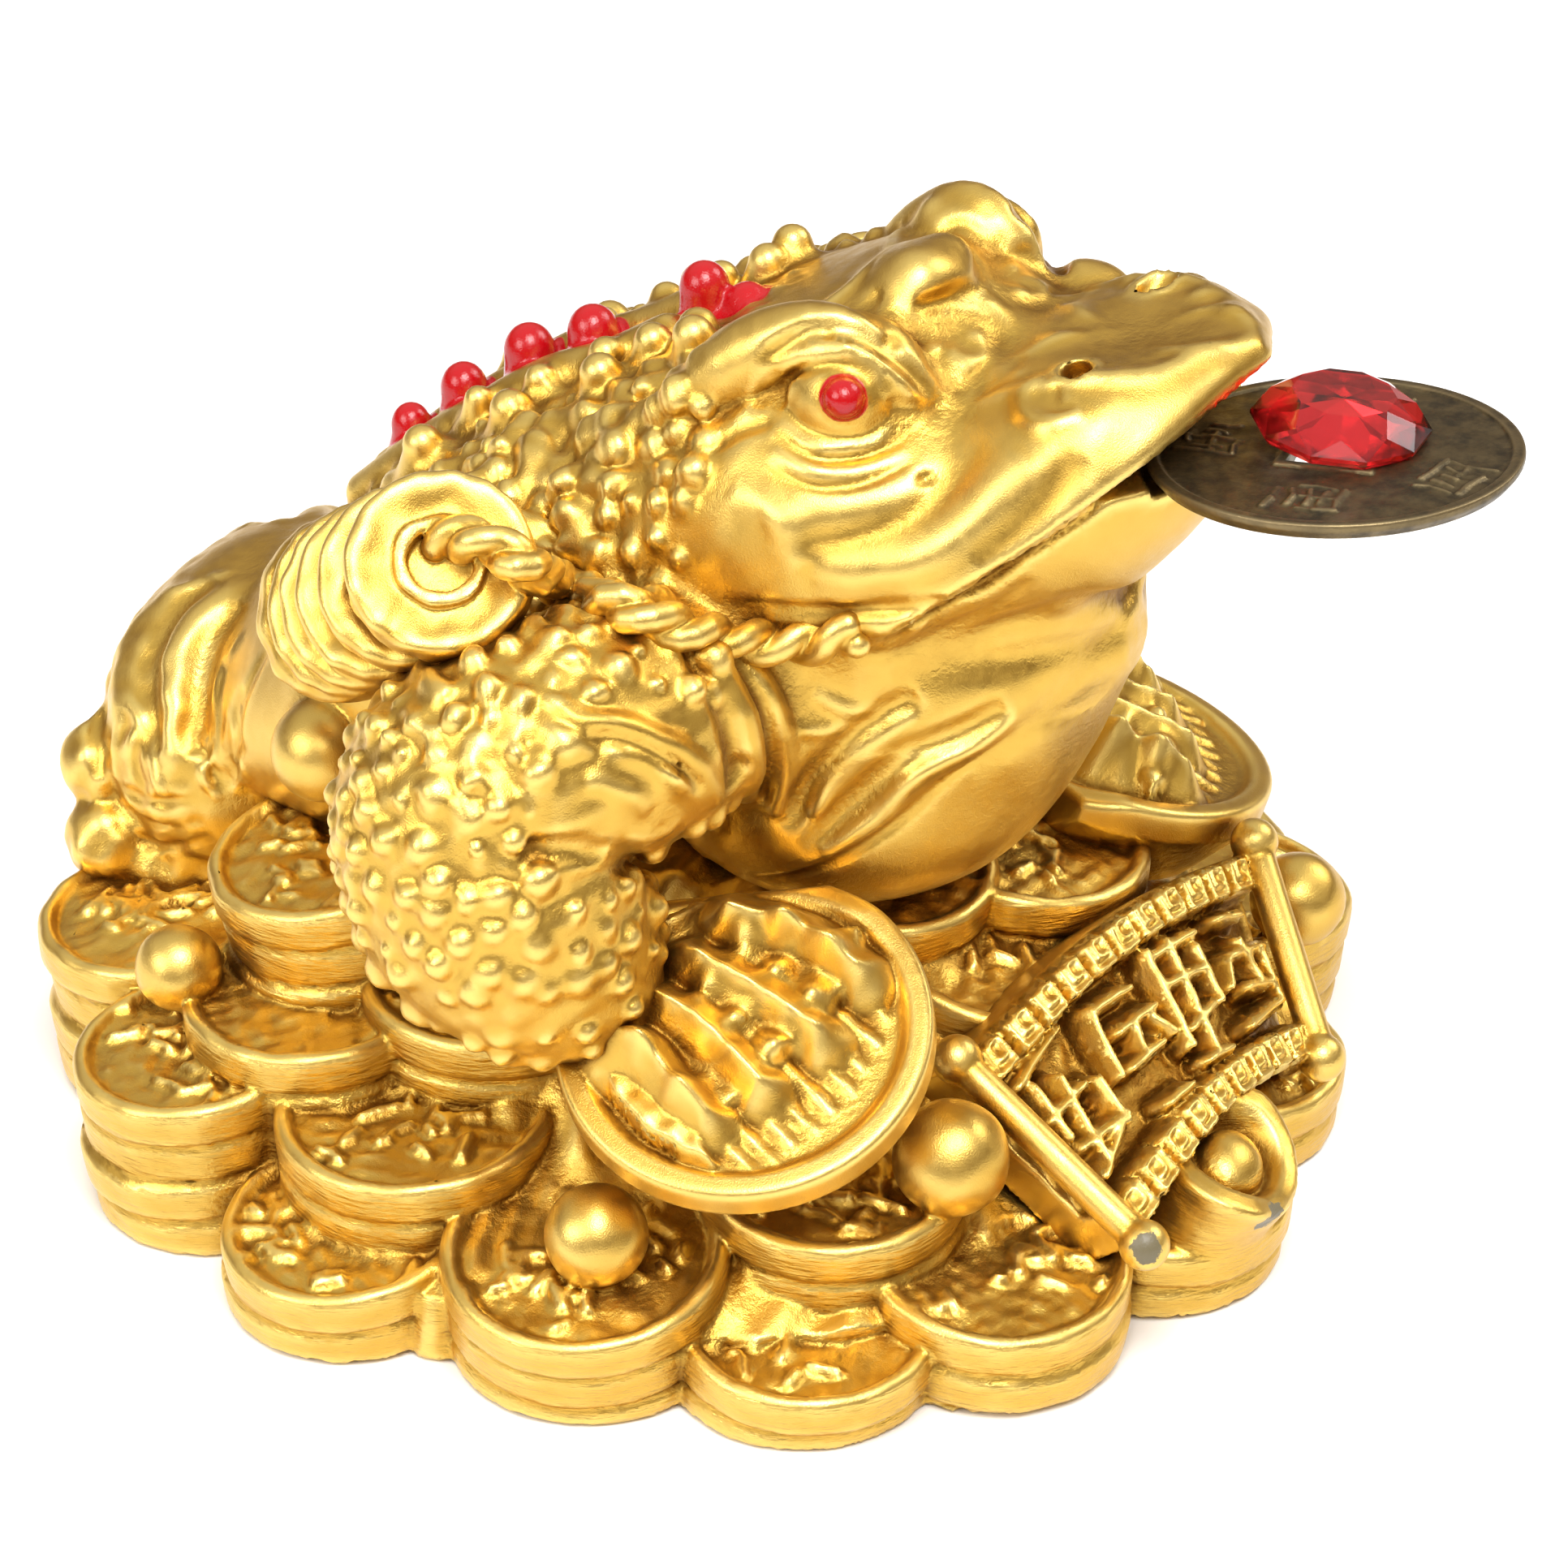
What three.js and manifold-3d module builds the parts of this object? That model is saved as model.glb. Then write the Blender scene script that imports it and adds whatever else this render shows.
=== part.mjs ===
// A three-legged money toad on a heap of coins, cast in one piece, with a loose token in its mouth
// and a cut stone on the token. Millimetres, +Z up, the toad faces -Y, its right side is -X.
import * as THREE from "three";
import { mergeVertices } from "three/addons/utils/BufferGeometryUtils.js";
import Module from "manifold-3d";

const wasm = await Module();
wasm.setup();

// Heap of coins
const heapRadius = 47.5;
const heapCentreY = 3.8;
const heapHeight = 24;
const heapWallHeight = 5;
const coinRadius = 9;
const coinThickness = 3.1;
const coinRimWidth = 1.1;
const coinFieldDepth = 0.7;
const coinsInMound = 3;

// Things that lie on the heap
const pearlRadius = 3.6;
const dishRadius = 12.3;
const dishThickness = 2.4;
const dishRimWidth = 1.4;
const dishRimHeight = 0.8;
const ingotLength = 10.5;
const ingotWidth = 8;
const ingotHeight = 5;
const scrollRodRadius = 1.15;
const scrollKnobRadius = 1.7;
const scrollSheetThickness = 1.6;
const scrollBedDepth = 4.5;
const scrollBorderWidth = 2.6;
const scrollTileSize = 1.9;
const scrollTileHeight = 0.6;
const scrollTilesAtTop = 8;
const scrollTilesAtFoot = 7;

// The toad. Its free form is given in 66ths of its length, and grows with it.
const toadLength = 66;
const share = toadLength / 66;
const beadRadius = 1.45;
const stringCoinRadius = 7.2;
const stringCoinThickness = 1.5;
const rightStringCoins = 6;
const leftStringCoins = 3;
const stringCoinHoleRadius = 2.6;
const stringCoinHoleDepth = 0.9;
const cordRadius = 1.15;

// The token in the mouth and the stone on it
const tokenRadius = 12;
const tokenThickness = 1.2;
const tokenRimWidth = 0.8;
const tokenRimHeight = 0.2;
const tokenHole = 5.6;
const tokenPitch = 4.4;
const tokenRoll = 2.8;
const gemRadius = 5.8;
const gemGirdleHeight = 0.6;
const gemCrownHeight = 2.6;
const gemTableRadius = 3;
const gemOffsetX = 2.4;
const gemOffsetY = 0.6;
const clearance = 0.3;

// Facets of the round forms
const coinSides = 11;
const farCoinSides = 8;
const stringSides = 9;
const ballSides = 7;
const bodySides = 16;
const limbSides = 8;
const hindSides = 12;
const toeSides = 5;
const beadSides = 6;
const cordSides = 6;
const tokenSides = 20;
const slotSides = 24;
const gemSides = 14;

const degrees = Math.PI / 180;
const goldPaint = new THREE.MeshStandardMaterial({ color: 0xd2a23c, roughness: 0.35, metalness: 0.9 });
const darkBrass = new THREE.MeshStandardMaterial({ color: 0x6b5f3c, roughness: 0.45, metalness: 0.9 });
const redGlass = new THREE.MeshStandardMaterial({ color: 0xc8102e, roughness: 0.05, metalness: 0 });

// A closed geometry as a solid that can be joined and cut.
function solid(geometry) {
  const bare = geometry.clone();
  bare.deleteAttribute("normal");
  bare.deleteAttribute("uv");
  const merged = mergeVertices(bare, 1e-4);
  return new wasm.Manifold(
    new wasm.Mesh({
      numProp: 3,
      vertProperties: merged.attributes.position.array,
      triVerts: new Uint32Array(merged.index.array),
    }),
  );
}

function union(solids) {
  let level = solids;
  while (level.length > 1) {
    const next = [];
    for (let i = 0; i < level.length; i += 2) {
      next.push(i + 1 < level.length ? level[i].add(level[i + 1]) : level[i]);
    }
    level = next;
  }
  return level[0];
}

function meshOf(name, made, material) {
  const raw = made.getMesh();
  const step = raw.numProp;
  const count = raw.vertProperties.length / step;
  const flat = new Float32Array(count * 3);
  for (let i = 0; i < count; i++) {
    for (let k = 0; k < 3; k++) {
      flat[i * 3 + k] = raw.vertProperties[i * step + k];
    }
  }
  const geometry = new THREE.BufferGeometry();
  geometry.setAttribute("position", new THREE.BufferAttribute(flat, 3));
  geometry.setIndex(new THREE.BufferAttribute(new Uint32Array(raw.triVerts), 1));
  geometry.computeVertexNormals();
  const mesh = new THREE.Mesh(geometry, material);
  mesh.name = name;
  return mesh;
}

const vec = (x, y, z) => new THREE.Vector3(x, y, z);
const up = vec(0, 0, 1);

// A place on the toad, given in shares of its length.
const onToad = (x, y, z) => vec(x * share, y * share, z * share);

function ball(centre, [rx, ry = rx, rz = rx], sides = ballSides) {
  const geometry = new THREE.SphereGeometry(1, sides, Math.round(sides * 0.6));
  geometry.rotateX(90 * degrees);
  geometry.scale(rx, ry, rz);
  geometry.translate(centre.x, centre.y, centre.z);
  return solid(geometry);
}

// Joins rings of equal count into one closed skin, with a fan at both ends.
function skin(rings) {
  const sides = rings[0].length;
  const points = rings.flat();
  const faces = [];
  for (let r = 0; r + 1 < rings.length; r++) {
    for (let s = 0; s < sides; s++) {
      const t = (s + 1) % sides;
      const a = r * sides + s;
      const b = r * sides + t;
      faces.push(a, b, b + sides, a, b + sides, a + sides);
    }
  }
  const last = (rings.length - 1) * sides;
  points.push(centreOf(rings[0]), centreOf(rings[rings.length - 1]));
  for (let s = 0; s < sides; s++) {
    const t = (s + 1) % sides;
    faces.push(points.length - 2, t, s, points.length - 1, last + s, last + t);
  }
  const geometry = new THREE.BufferGeometry().setFromPoints(points);
  geometry.setIndex(enclosed(points, faces) > 0 ? faces : faces.reverse());
  return solid(geometry);
}

// Six times the volume that the faces enclose, negative where they face inwards.
function enclosed(points, faces) {
  let sum = 0;
  for (let i = 0; i < faces.length; i += 3) {
    const [a, b, c] = [points[faces[i]], points[faces[i + 1]], points[faces[i + 2]]];
    sum += a.dot(vec(0, 0, 0).crossVectors(b, c));
  }
  return sum;
}

function centreOf(ring) {
  const sum = vec(0, 0, 0);
  ring.forEach((p) => sum.add(p));
  return sum.divideScalar(ring.length);
}

// A limb: round sections of changing radius along a smooth route, each stop as [point, radius].
function limb(stops, sides = limbSides, steps = Math.round(stops.length * 1.4)) {
  const route = new THREE.CatmullRomCurve3(stops.map((s) => s[0]));
  const radii = new THREE.CatmullRomCurve3(stops.map((s, i) => vec(s[1], i, 0)));
  const frames = route.computeFrenetFrames(steps, false);
  const rings = [];
  for (let i = 0; i <= steps; i++) {
    const centre = route.getPoint(i / steps);
    const radius = radii.getPoint(i / steps).x;
    rings.push(ringAround(centre, frames.normals[i], frames.binormals[i], radius, sides));
  }
  return skin(rings);
}

function ringAround(centre, across, along, radius, sides) {
  const ring = [];
  for (let s = 0; s < sides; s++) {
    const angle = (s / sides) * 2 * Math.PI;
    ring.push(
      centre
        .clone()
        .addScaledVector(across, radius * Math.cos(angle))
        .addScaledVector(along, radius * Math.sin(angle)),
    );
  }
  return ring;
}

// A lathed profile of [radius, height] pairs, from the axis to the axis, set on a point and a normal.
function turned(profile, centre, normal, sides = coinSides) {
  const points = profile.map(([r, h]) => new THREE.Vector2(r, h));
  const geometry = new THREE.LatheGeometry(points, sides);
  geometry.rotateX(90 * degrees);
  geometry.applyQuaternion(new THREE.Quaternion().setFromUnitVectors(up, normal));
  geometry.translate(centre.x, centre.y, centre.z);
  return solid(geometry);
}

// The top face of a coin lies at the centre, the coin and what it stands on lie below it. On the far
// side of the heap the coins are plain discs of fewer facets.
function coin(centre, normal, radius, depth, far) {
  const field = radius - coinRimWidth;
  const recess = [
    [field, 0],
    [field, -coinFieldDepth],
    [0, -coinFieldDepth],
  ];
  const profile = [
    [0, -depth],
    [radius, -depth],
    [radius, 0],
    ...(far ? [[0, 0]] : recess),
  ];
  return turned(profile, centre, normal, far ? farCoinSides : coinSides);
}

// A normal that leans by a tilt towards an angle about Z, both in degrees.
function leaning(tilt, towards) {
  return vec(
    Math.sin(tilt * degrees) * Math.cos(towards * degrees),
    Math.sin(tilt * degrees) * Math.sin(towards * degrees),
    Math.cos(tilt * degrees),
  );
}

// A place on the heap: angle from +X, share of the heap's radius, height.
function onHeap(angle, reach, z) {
  const r = reach * heapRadius;
  return vec(r * Math.cos(angle * degrees), heapCentreY + r * Math.sin(angle * degrees), z);
}

// A place on the heap, by shares of its radius towards +X and +Y from its centre, and a height.
const besideHeap = (x, y, z) => vec(x * heapRadius, heapCentreY + y * heapRadius, z);

// Coins of the heap: angle, reach, height of the top, tilt outwards, radius share. Those on the rim
// are stacks that reach the ground, the others stand in the mound.
const rimCoins = [
  [97, 0.8, 10.5, 7, 1],
  [119, 0.83, 13.5, 5, 1],
  [142, 0.845, 12.3, 5, 0.92],
  [166, 0.82, 6.6, 8, 0.96],
  [192, 0.79, 9, 11, 1.06],
  [214, 0.83, 5.4, 7, 1],
];
const frontRimCoins = [
  [233, 0.84, 7.4, 8, 1],
  [256, 0.82, 6, 6, 1],
  [280, 0.77, 6.5, 6, 1],
  [306, 0.8, 9.2, 8, 1],
];
const innerCoins = [
  [169, 0.64, 12.1, 5, 1.08],
  [136, 0.6, 23.2, 10, 0.95],
];
const rightCoins = [
  [145, 0.67, 15.5, 3, 1],
  [163, 0.46, 17.4, 3, 1.08],
  [219, 0.68, 11.8, 6, 1],
  [256, 0.3, 21.6, 9, 0.95],
  [262, 0.5, 17, 10, 1],
  [286, 0.46, 20, 9, 1],
];

// The mound between the coins, above its upright wall: shares of the heap's radius and height.
const moundFoot = 0.88;
const moundSlope = [
  [0.72, 0.38],
  [0.5, 0.66],
  [0.3, 0.95],
  [0, 1],
];

function heapOfCoins() {
  const mound = [
    [0, 0],
    [heapRadius * moundFoot, 0],
    [heapRadius * moundFoot, heapWallHeight],
    ...moundSlope.map(([reach, high]) => [heapRadius * reach, heapHeight * high]),
  ];
  const parts = [turned(mound, vec(0, heapCentreY, 0), up, coinSides)];
  const place = ([angle, reach, z, tilt, size], depth, mirrored) => {
    const turn = mirrored ? 180 - angle : angle;
    const radius = coinRadius * size;
    parts.push(coin(onHeap(turn, reach, z), leaning(tilt, turn), radius, depth, mirrored));
  };
  const toGround = ([, , z]) => z + coinThickness;
  const inMound = coinThickness * coinsInMound;
  rimCoins.forEach((row) => place(row, toGround(row), false));
  rimCoins.forEach((row) => place(row, toGround(row), true));
  frontRimCoins.forEach((row) => place(row, toGround(row), false));
  innerCoins.forEach((row) => place(row, inMound, true));
  [...innerCoins, ...rightCoins].forEach((row) => place(row, inMound, false));
  return union(parts);
}

// Body, as upright slices along Y: y, centre height, half width, half height.
const torsoSlices = [
  [42, 27, 5, 3.5],
  [38, 27.5, 12, 7.5],
  [32, 28.5, 18, 11.6],
  [25, 31, 21.5, 14.6],
  [16, 36, 22.5, 16],
  [7, 39, 22, 17.2],
  [-2, 41, 20.5, 17],
  [-11, 39.5, 18.5, 15.4],
  [-18.5, 39, 15, 12.6],
  [-23.6, 39.5, 10, 9],
  [-26.2, 41, 4, 4.5],
];

// Head, as upright slices along Y: y, top, bottom, height of the widest line, half width, pinch of the top.
const headSlices = [
  [7, 56, 36, 46, 17, 0.9],
  [0, 60.6, 37, 49, 19, 0.9],
  [-6, 63.6, 38, 51, 20, 0.95],
  [-11, 65, 39, 51.5, 19.8, 1.05],
  [-15, 64.6, 40, 52, 19, 1.25],
  [-18.5, 62.6, 41, 53, 17.8, 1.25],
  [-22, 63.4, 42.5, 54, 16.2, 0.95],
  [-25, 64.4, 44, 55.2, 14.8, 0.8],
  [-28, 64.8, 46, 57, 12.8, 0.8],
  [-31, 64.8, 49.4, 59, 9.6, 0.85],
  [-33, 64.5, 52.4, 60.6, 6.4, 0.9],
  [-34.2, 64.2, 56.6, 61.8, 3.4, 0.9],
  [-35, 63.6, 61.4, 62.4, 1.2, 1],
];

function slices(rows, sectionOf, sides) {
  const rings = rows.map((row) => {
    const ring = [];
    for (let s = 0; s < sides; s++) {
      const angle = (-s / sides) * 2 * Math.PI;
      ring.push(sectionOf(row, Math.cos(angle), Math.sin(angle)));
    }
    return ring;
  });
  return skin(rings.reverse());
}

const rounded = (value, power) => Math.sign(value) * Math.abs(value) ** power;

function torso() {
  const section = ([y, zMid, wide, high], c, s) => onToad(wide * c, y, zMid + high * s);
  return slices(torsoSlices, section, bodySides);
}

function headSection([y, zTop, zFoot, zWide, wide, pinch], c, s) {
  const reach = s > 0 ? zTop - zWide : zWide - zFoot;
  const power = s > 0 ? pinch : 0.9;
  return onToad(wide * rounded(c, power), y, zWide + reach * rounded(s, power));
}

function head() {
  return slices(headSlices, headSection, bodySides);
}

// A mirrored copy for the toad's left side.
const mirroredX = (points, left) => points.map(([x, y, z, r]) => [left ? -x : x, y, z, r]);

function bodyLimb(rows, left, sides) {
  const stops = mirroredX(rows, left).map(([x, y, z, r]) => [onToad(x, y, z), r * share]);
  return limb(stops, sides);
}

// Rows of x, y, z, radius from the shoulder to the wrist, on the right side and on the left.
const rightArm = [
  [-21, -9, 45, 5],
  [-27.5, -2.7, 43.4, 6.9],
  [-30.5, 2.4, 41, 8.6],
  [-32, 5.2, 37.2, 9.6],
  [-33, 3, 32, 9.2],
  [-32.5, -0.2, 27.6, 6.8],
  [-31, -4.6, 25, 4.2],
];
const leftArm = [
  [-21, -9, 45, 5],
  [-27, -4, 43, 6.9],
  [-28.5, 1, 40.4, 8.6],
  [-29, 2, 36, 9.4],
  [-28, -1, 31, 8.8],
  [-25.5, -6, 27, 6.4],
  [-22, -10.5, 24.4, 4.2],
];
const rightDish = { x: -29.2, y: -12.1, z: 23.2, tilt: 27, towards: 192 };
const leftDish = { x: 19.5, y: -18, z: 20.6, tilt: 18, towards: 310 };

// A dish with a raised rim under a forefoot, on a narrower foot that stands in the heap.
const dishFootRadius = 8.9;
const dishFootDepth = 6.8;

function dish({ x, y, z, tilt, towards }) {
  const inner = dishRadius - dishRimWidth;
  const profile = [
    [0, -dishFootDepth],
    [dishFootRadius, -dishFootDepth],
    [dishRadius, dishRimHeight - dishThickness],
    [dishRadius, dishRimHeight],
    [inner, dishRimHeight],
    [inner - dishRimHeight, 0],
    [0, 0],
  ];
  return turned(profile, onToad(x, y, z), leaning(tilt, towards), bodySides);
}

// The toes of a forefoot, fanned about a middle angle on its dish: share of the toe's length, height
// of the toe's axis above the dish, radius.
const toeCount = 4;
const toeFan = 62;
const toeLength = 13;
const toeStops = [
  [0, 2.2, 3],
  [0.5, 1.8, 2.6],
  [1, 0.9, 1.6],
];

function foot(wrist, { x, y, z, tilt, towards }, middle) {
  const normal = leaning(tilt, towards);
  const centre = onToad(x, y, z);
  const parts = [];
  for (let i = 0; i < toeCount; i++) {
    const angle = middle + toeFan * (i / (toeCount - 1) - 0.5);
    const ahead = vec(Math.cos(angle * degrees), Math.sin(angle * degrees), 0);
    ahead.addScaledVector(normal, -ahead.dot(normal)).normalize();
    const stops = toeStops.map(([way, lift, radius]) => {
      const place = wrist.clone().addScaledVector(ahead, way * toeLength * share);
      place.addScaledVector(normal, lift * share - place.clone().sub(centre).dot(normal));
      return [place, radius * share];
    });
    parts.push(limb(stops, toeSides, toeStops.length - 1));
  }
  return union(parts);
}

// Rump, and the broad foot of the single hind leg under it: centre and radii along X, Y and Z.
const rump = { at: [0, 37.6, 20.8], radii: [17.2, 13, 13.4] };
const hindFoot = { at: [0, 41, 12.8], radii: [16.5, 11, 6.4] };

function hindquarters() {
  const made = [rump, hindFoot].map(({ at, radii }) =>
    ball(onToad(...at), radii.map((r) => r * share), hindSides),
  );
  return union(made);
}

// Beads along the spine: y, height, radius share.
const spineBeads = [
  [27.3, 45, 1],
  [23, 48.6, 1.15],
  [17.8, 52, 1.2],
  [12.9, 54.6, 1.2],
  [4.5, 58.9, 1.2],
  [1.5, 58.6, 1.1],
];

function beads() {
  return union(
    spineBeads.map(([y, z, size]) => ball(onToad(0, y, z), [beadRadius * size * share], beadSides)),
  );
}

// Spikes in two rows along each side of the back, from one [y, z] to another.
const spikeFoot = 2.1;
const spikeHeight = 2.8;
const spikeTilt = 25;
const spikeTowards = 45;
const spikeRows = [
  { x: 7, from: [22, 46.6], to: [1, 57.8], count: 4 },
  { x: 12.5, from: [18, 45.6], to: [2, 54.6], count: 3 },
];

function spikes() {
  const parts = [];
  spikeRows.forEach(({ x, from, to, count }) => {
    for (let i = 0; i < count; i++) {
      const t = i / (count - 1);
      const y = from[0] + (to[0] - from[0]) * t;
      const z = from[1] + (to[1] - from[1]) * t;
      [-1, 1].forEach((side) => {
        const normal = leaning(spikeTilt, side > 0 ? spikeTowards : 180 - spikeTowards);
        const profile = [
          [0, -spikeHeight / 2],
          [spikeFoot, -spikeHeight / 2],
          [0, spikeHeight],
        ];
        parts.push(turned(profile, onToad(side * x, y, z), normal, beadSides));
      });
    }
  });
  return union(parts);
}

// Eyes of the left side, mirrored for the right: centre and radii. The brows differ: x, y, z, radius.
const eyeSocket = { at: [9.4, -10.6, 59.6], radii: [4.4, 6.4, 5.8], sides: 8 };
const eyeball = { at: [11.9, -11, 60.8], radii: [3.5], sides: 8 };
const pupil = { at: [14.6, -12.2, 62.2], radii: [1.5], sides: 6 };
const forehead = { at: [0, -12.8, 62.4], radii: [5.6, 4.4, 3.9] };
const rightBrow = [
  [-12.2, -1.2, 59.6, 1.1],
  [-12, -4.8, 62.8, 1.6],
  [-11, -10.4, 65.3, 1.9],
  [-9.8, -14.6, 64.4, 1.7],
  [-8.6, -17.8, 61, 1.1],
];
const leftBrow = [
  [11.6, -3.4, 59.8, 1.2],
  [11.2, -6.4, 63, 1.6],
  [10.6, -9.9, 64.8, 1.8],
  [9.8, -13.2, 63.7, 1.6],
  [9, -15.9, 60.2, 1.2],
];

function eyes() {
  const parts = [];
  [-1, 1].forEach((side) => {
    [eyeSocket, eyeball, pupil].forEach(({ at: [x, y, z], radii, sides }) => {
      parts.push(ball(onToad(side * x, y, z), radii.map((r) => r * share), sides));
    });
  });
  parts.push(bodyLimb(rightBrow, false, toeSides));
  parts.push(bodyLimb(leftBrow, false, toeSides));
  parts.push(ball(onToad(...forehead.at), forehead.radii.map((r) => r * share)));
  return union(parts);
}

// The string of fanned coins on each flank, and the cord that ties it. The left one hangs lower, and
// its cord is back at the right one's height from a stop on.
const stringFrom = [-24.5, 17.6, 47.6];
const stringTo = [-29.2, 9.4, 53];
const stringLeanFrom = [-0.86, 0.32, 0.4];
const stringLeanTo = [-0.72, -0.42, 0.55];
const cordRoute = [
  [-30, 8, 53],
  [-29.6, 4, 54.2],
  [-28, 0.2, 53],
  [-26, -4, 50.6],
  [-23, -8.3, 48],
  [-19, -12.4, 46.4],
];
const leftStringDrop = 7;
const cordLevelFrom = 3;

function coinString(left) {
  const side = left ? -1 : 1;
  const count = left ? leftStringCoins : rightStringCoins;
  const half = stringCoinThickness / 2;
  const parts = [];
  for (let i = 0; i < count; i++) {
    const t = i / (count - 1);
    const mix = (from, to) => vec(...from).lerp(vec(...to), t);
    const centre = mix(stringFrom, stringTo).multiplyScalar(share);
    const normal = mix(stringLeanFrom, stringLeanTo).normalize();
    centre.x *= side;
    centre.z -= left ? leftStringDrop : 0;
    normal.x *= side;
    const outermost = i === count - 1;
    const hole = [
      [stringCoinHoleRadius, half],
      [stringCoinHoleRadius, half - stringCoinHoleDepth],
      [0, half - stringCoinHoleDepth],
    ];
    const profile = [
      [0, -2 * half],
      [stringCoinRadius, -2 * half],
      [stringCoinRadius, half],
      ...(outermost ? hole : [[0, half]]),
    ];
    parts.push(turned(profile, centre, normal, stringSides));
  }
  const drop = (i) => (left ? leftStringDrop * Math.max(0, 1 - i / cordLevelFrom) : 0);
  const stops = cordRoute.map(([x, y, z], i) => [onToad(x * side, y, z - drop(i)), cordRadius]);
  parts.push(limb(stops, cordSides, cordRoute.length));
  return union(parts);
}

// Pearls on the heap, by the same shares, a height and a radius share, and one at each hip.
const heapPearls = [
  [-0.509, -0.598, 13.8, 1.08],
  [-0.8, -0.198, 10.9, 0.95],
  [-0.604, 0.573, 15.8, 0.84],
  [0.381, -0.783, 11.6, 0.95],
  [0.716, 0.341, 14, 0.95],
];
const hipPearl = { at: [18.5, 28, 30.6], size: 0.98 };

function pearls() {
  const made = heapPearls.map(([x, y, z, size]) => ball(besideHeap(x, y, z), [pearlRadius * size]));
  const [x, y, z] = hipPearl.at;
  [-1, 1].forEach((side) => made.push(ball(onToad(side * x, y, z), [pearlRadius * hipPearl.size])));
  return union(made);
}

// A small boat-shaped ingot with a domed middle, leaning outwards on the heap's edge.
const ingotPlace = besideHeap(-0.227, -0.888, 8.6);
const ingotLean = [22, -6, 14];
const ingotSides = 12;
const ingotFootShare = 0.7;
const ingotWell = 0.82;
const ingotRimHeight = 1;
const ingotHornRise = 1.25;
const ingotDome = [2.8, 2.4, 2.1];

function ingot() {
  const [leanX, leanY, leanZ] = ingotLean.map((angle) => angle * degrees);
  const turn = new THREE.Matrix4().makeRotationFromEuler(new THREE.Euler(leanX, leanY, leanZ));
  const place = (p) => p.applyMatrix4(turn).add(ingotPlace);
  const shape = (size, z, rise) =>
    Array.from({ length: ingotSides }, (_, s) => {
      const angle = (s / ingotSides) * 2 * Math.PI;
      const lift = rise * Math.cos(angle) ** 2;
      const x = (ingotLength / 2) * size * Math.cos(angle);
      const y = (ingotWidth / 2) * size * Math.sin(angle);
      return place(vec(x, y, z + lift));
    });
  const boat = skin([
    shape(ingotFootShare, -ingotHeight, 0),
    shape(1, ingotRimHeight, ingotHornRise),
    shape(ingotWell, ingotRimHeight, ingotHornRise),
    shape(ingotFootShare, 0, 0),
  ]);
  return boat.add(ball(place(vec(0, 0, 0)), ingotDome));
}

// The scroll plaque: corner places of its outer face, left being the toad's right.
const scrollCorners = {
  topLeft: besideHeap(-0.379, -0.556, 16.8),
  topRight: besideHeap(0.295, -0.741, 17.8),
  footLeft: besideHeap(-0.467, -0.867, 9.6),
  footRight: besideHeap(0.093, -0.926, 8.6),
};
const scrollBulge = 3;
const scrollTilt = 48;
const scrollTowards = 255;
const scrollFacing = leaning(scrollTilt, scrollTowards);
const scrollSteps = 6;

function scrollPoint(across, down, lift) {
  const { topLeft, topRight, footLeft, footRight } = scrollCorners;
  const upper = topLeft.clone().lerp(topRight, across);
  const lower = footLeft.clone().lerp(footRight, across);
  const rise = scrollBulge * Math.sin(across * Math.PI);
  return upper.lerp(lower, down).addScaledVector(scrollFacing, lift).addScaledVector(up, rise);
}

// A strip of the sheet between two heights on it, as rows of [across, lift of the outer face].
function scrollStrip(rows, downFrom, downTo, back) {
  return skin(
    rows.map(([across, lift]) => [
      scrollPoint(across, downFrom, back),
      scrollPoint(across, downTo, back),
      scrollPoint(across, downTo, lift),
      scrollPoint(across, downFrom, lift),
    ]),
  );
}

// A border of square tiles with a gap between each two. The end tiles stand off the rods by more.
const scrollTileInset = 0.8;

function scrollBorder(count, downFrom, downTo) {
  const { topLeft, topRight } = scrollCorners;
  const width = topRight.distanceTo(topLeft);
  const half = scrollTileSize / width / 2;
  const rows = [[0, 0]];
  for (let i = 0; i < count; i++) {
    const middle = (i + scrollTileInset) / (count - 1 + 2 * scrollTileInset);
    rows.push([middle - half, 0], [middle - half, scrollTileHeight]);
    rows.push([middle + half, scrollTileHeight], [middle + half, 0]);
  }
  rows.push([1, 0]);
  return scrollStrip(rows, downFrom, downTo, -scrollBedDepth);
}

// A rod along one end of the sheet. Past each of its ends a knob, as shares of the knob's radius.
const knobLength = 1.7;
const knobShape = [
  [0.8, 1.4],
  [1, 0.7],
];

function scrollRod(foot, top) {
  const along = top.clone().sub(foot);
  const length = along.length();
  const past = knobShape.map(([r, h]) => [scrollKnobRadius * r, scrollKnobRadius * h]);
  const profile = [
    [0, -scrollKnobRadius * knobLength],
    ...past.map(([r, h]) => [r, -h]),
    [scrollRodRadius, 0],
    [scrollRodRadius, length],
    ...past.map(([r, h]) => [r, length + h]).reverse(),
    [0, length + scrollKnobRadius * knobLength],
  ];
  return turned(profile, foot, along.normalize(), cordSides);
}

function scrollPlaque() {
  const { topLeft, topRight, footLeft, footRight } = scrollCorners;
  const drop = footLeft.distanceTo(topLeft);
  const border = scrollBorderWidth / drop;
  const bed = [];
  for (let i = 0; i <= scrollSteps; i++) {
    bed.push([i / scrollSteps, -scrollSheetThickness]);
  }
  const parts = [
    scrollStrip(bed, border / 2, 1 - border / 2, -scrollBedDepth - scrollSheetThickness),
    scrollBorder(scrollTilesAtTop, 0, border),
    scrollBorder(scrollTilesAtFoot, 1 - border, 1),
  ];
  parts.push(scrollRod(footLeft, topLeft));
  parts.push(scrollRod(footRight, topRight));
  return union(parts);
}

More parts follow.
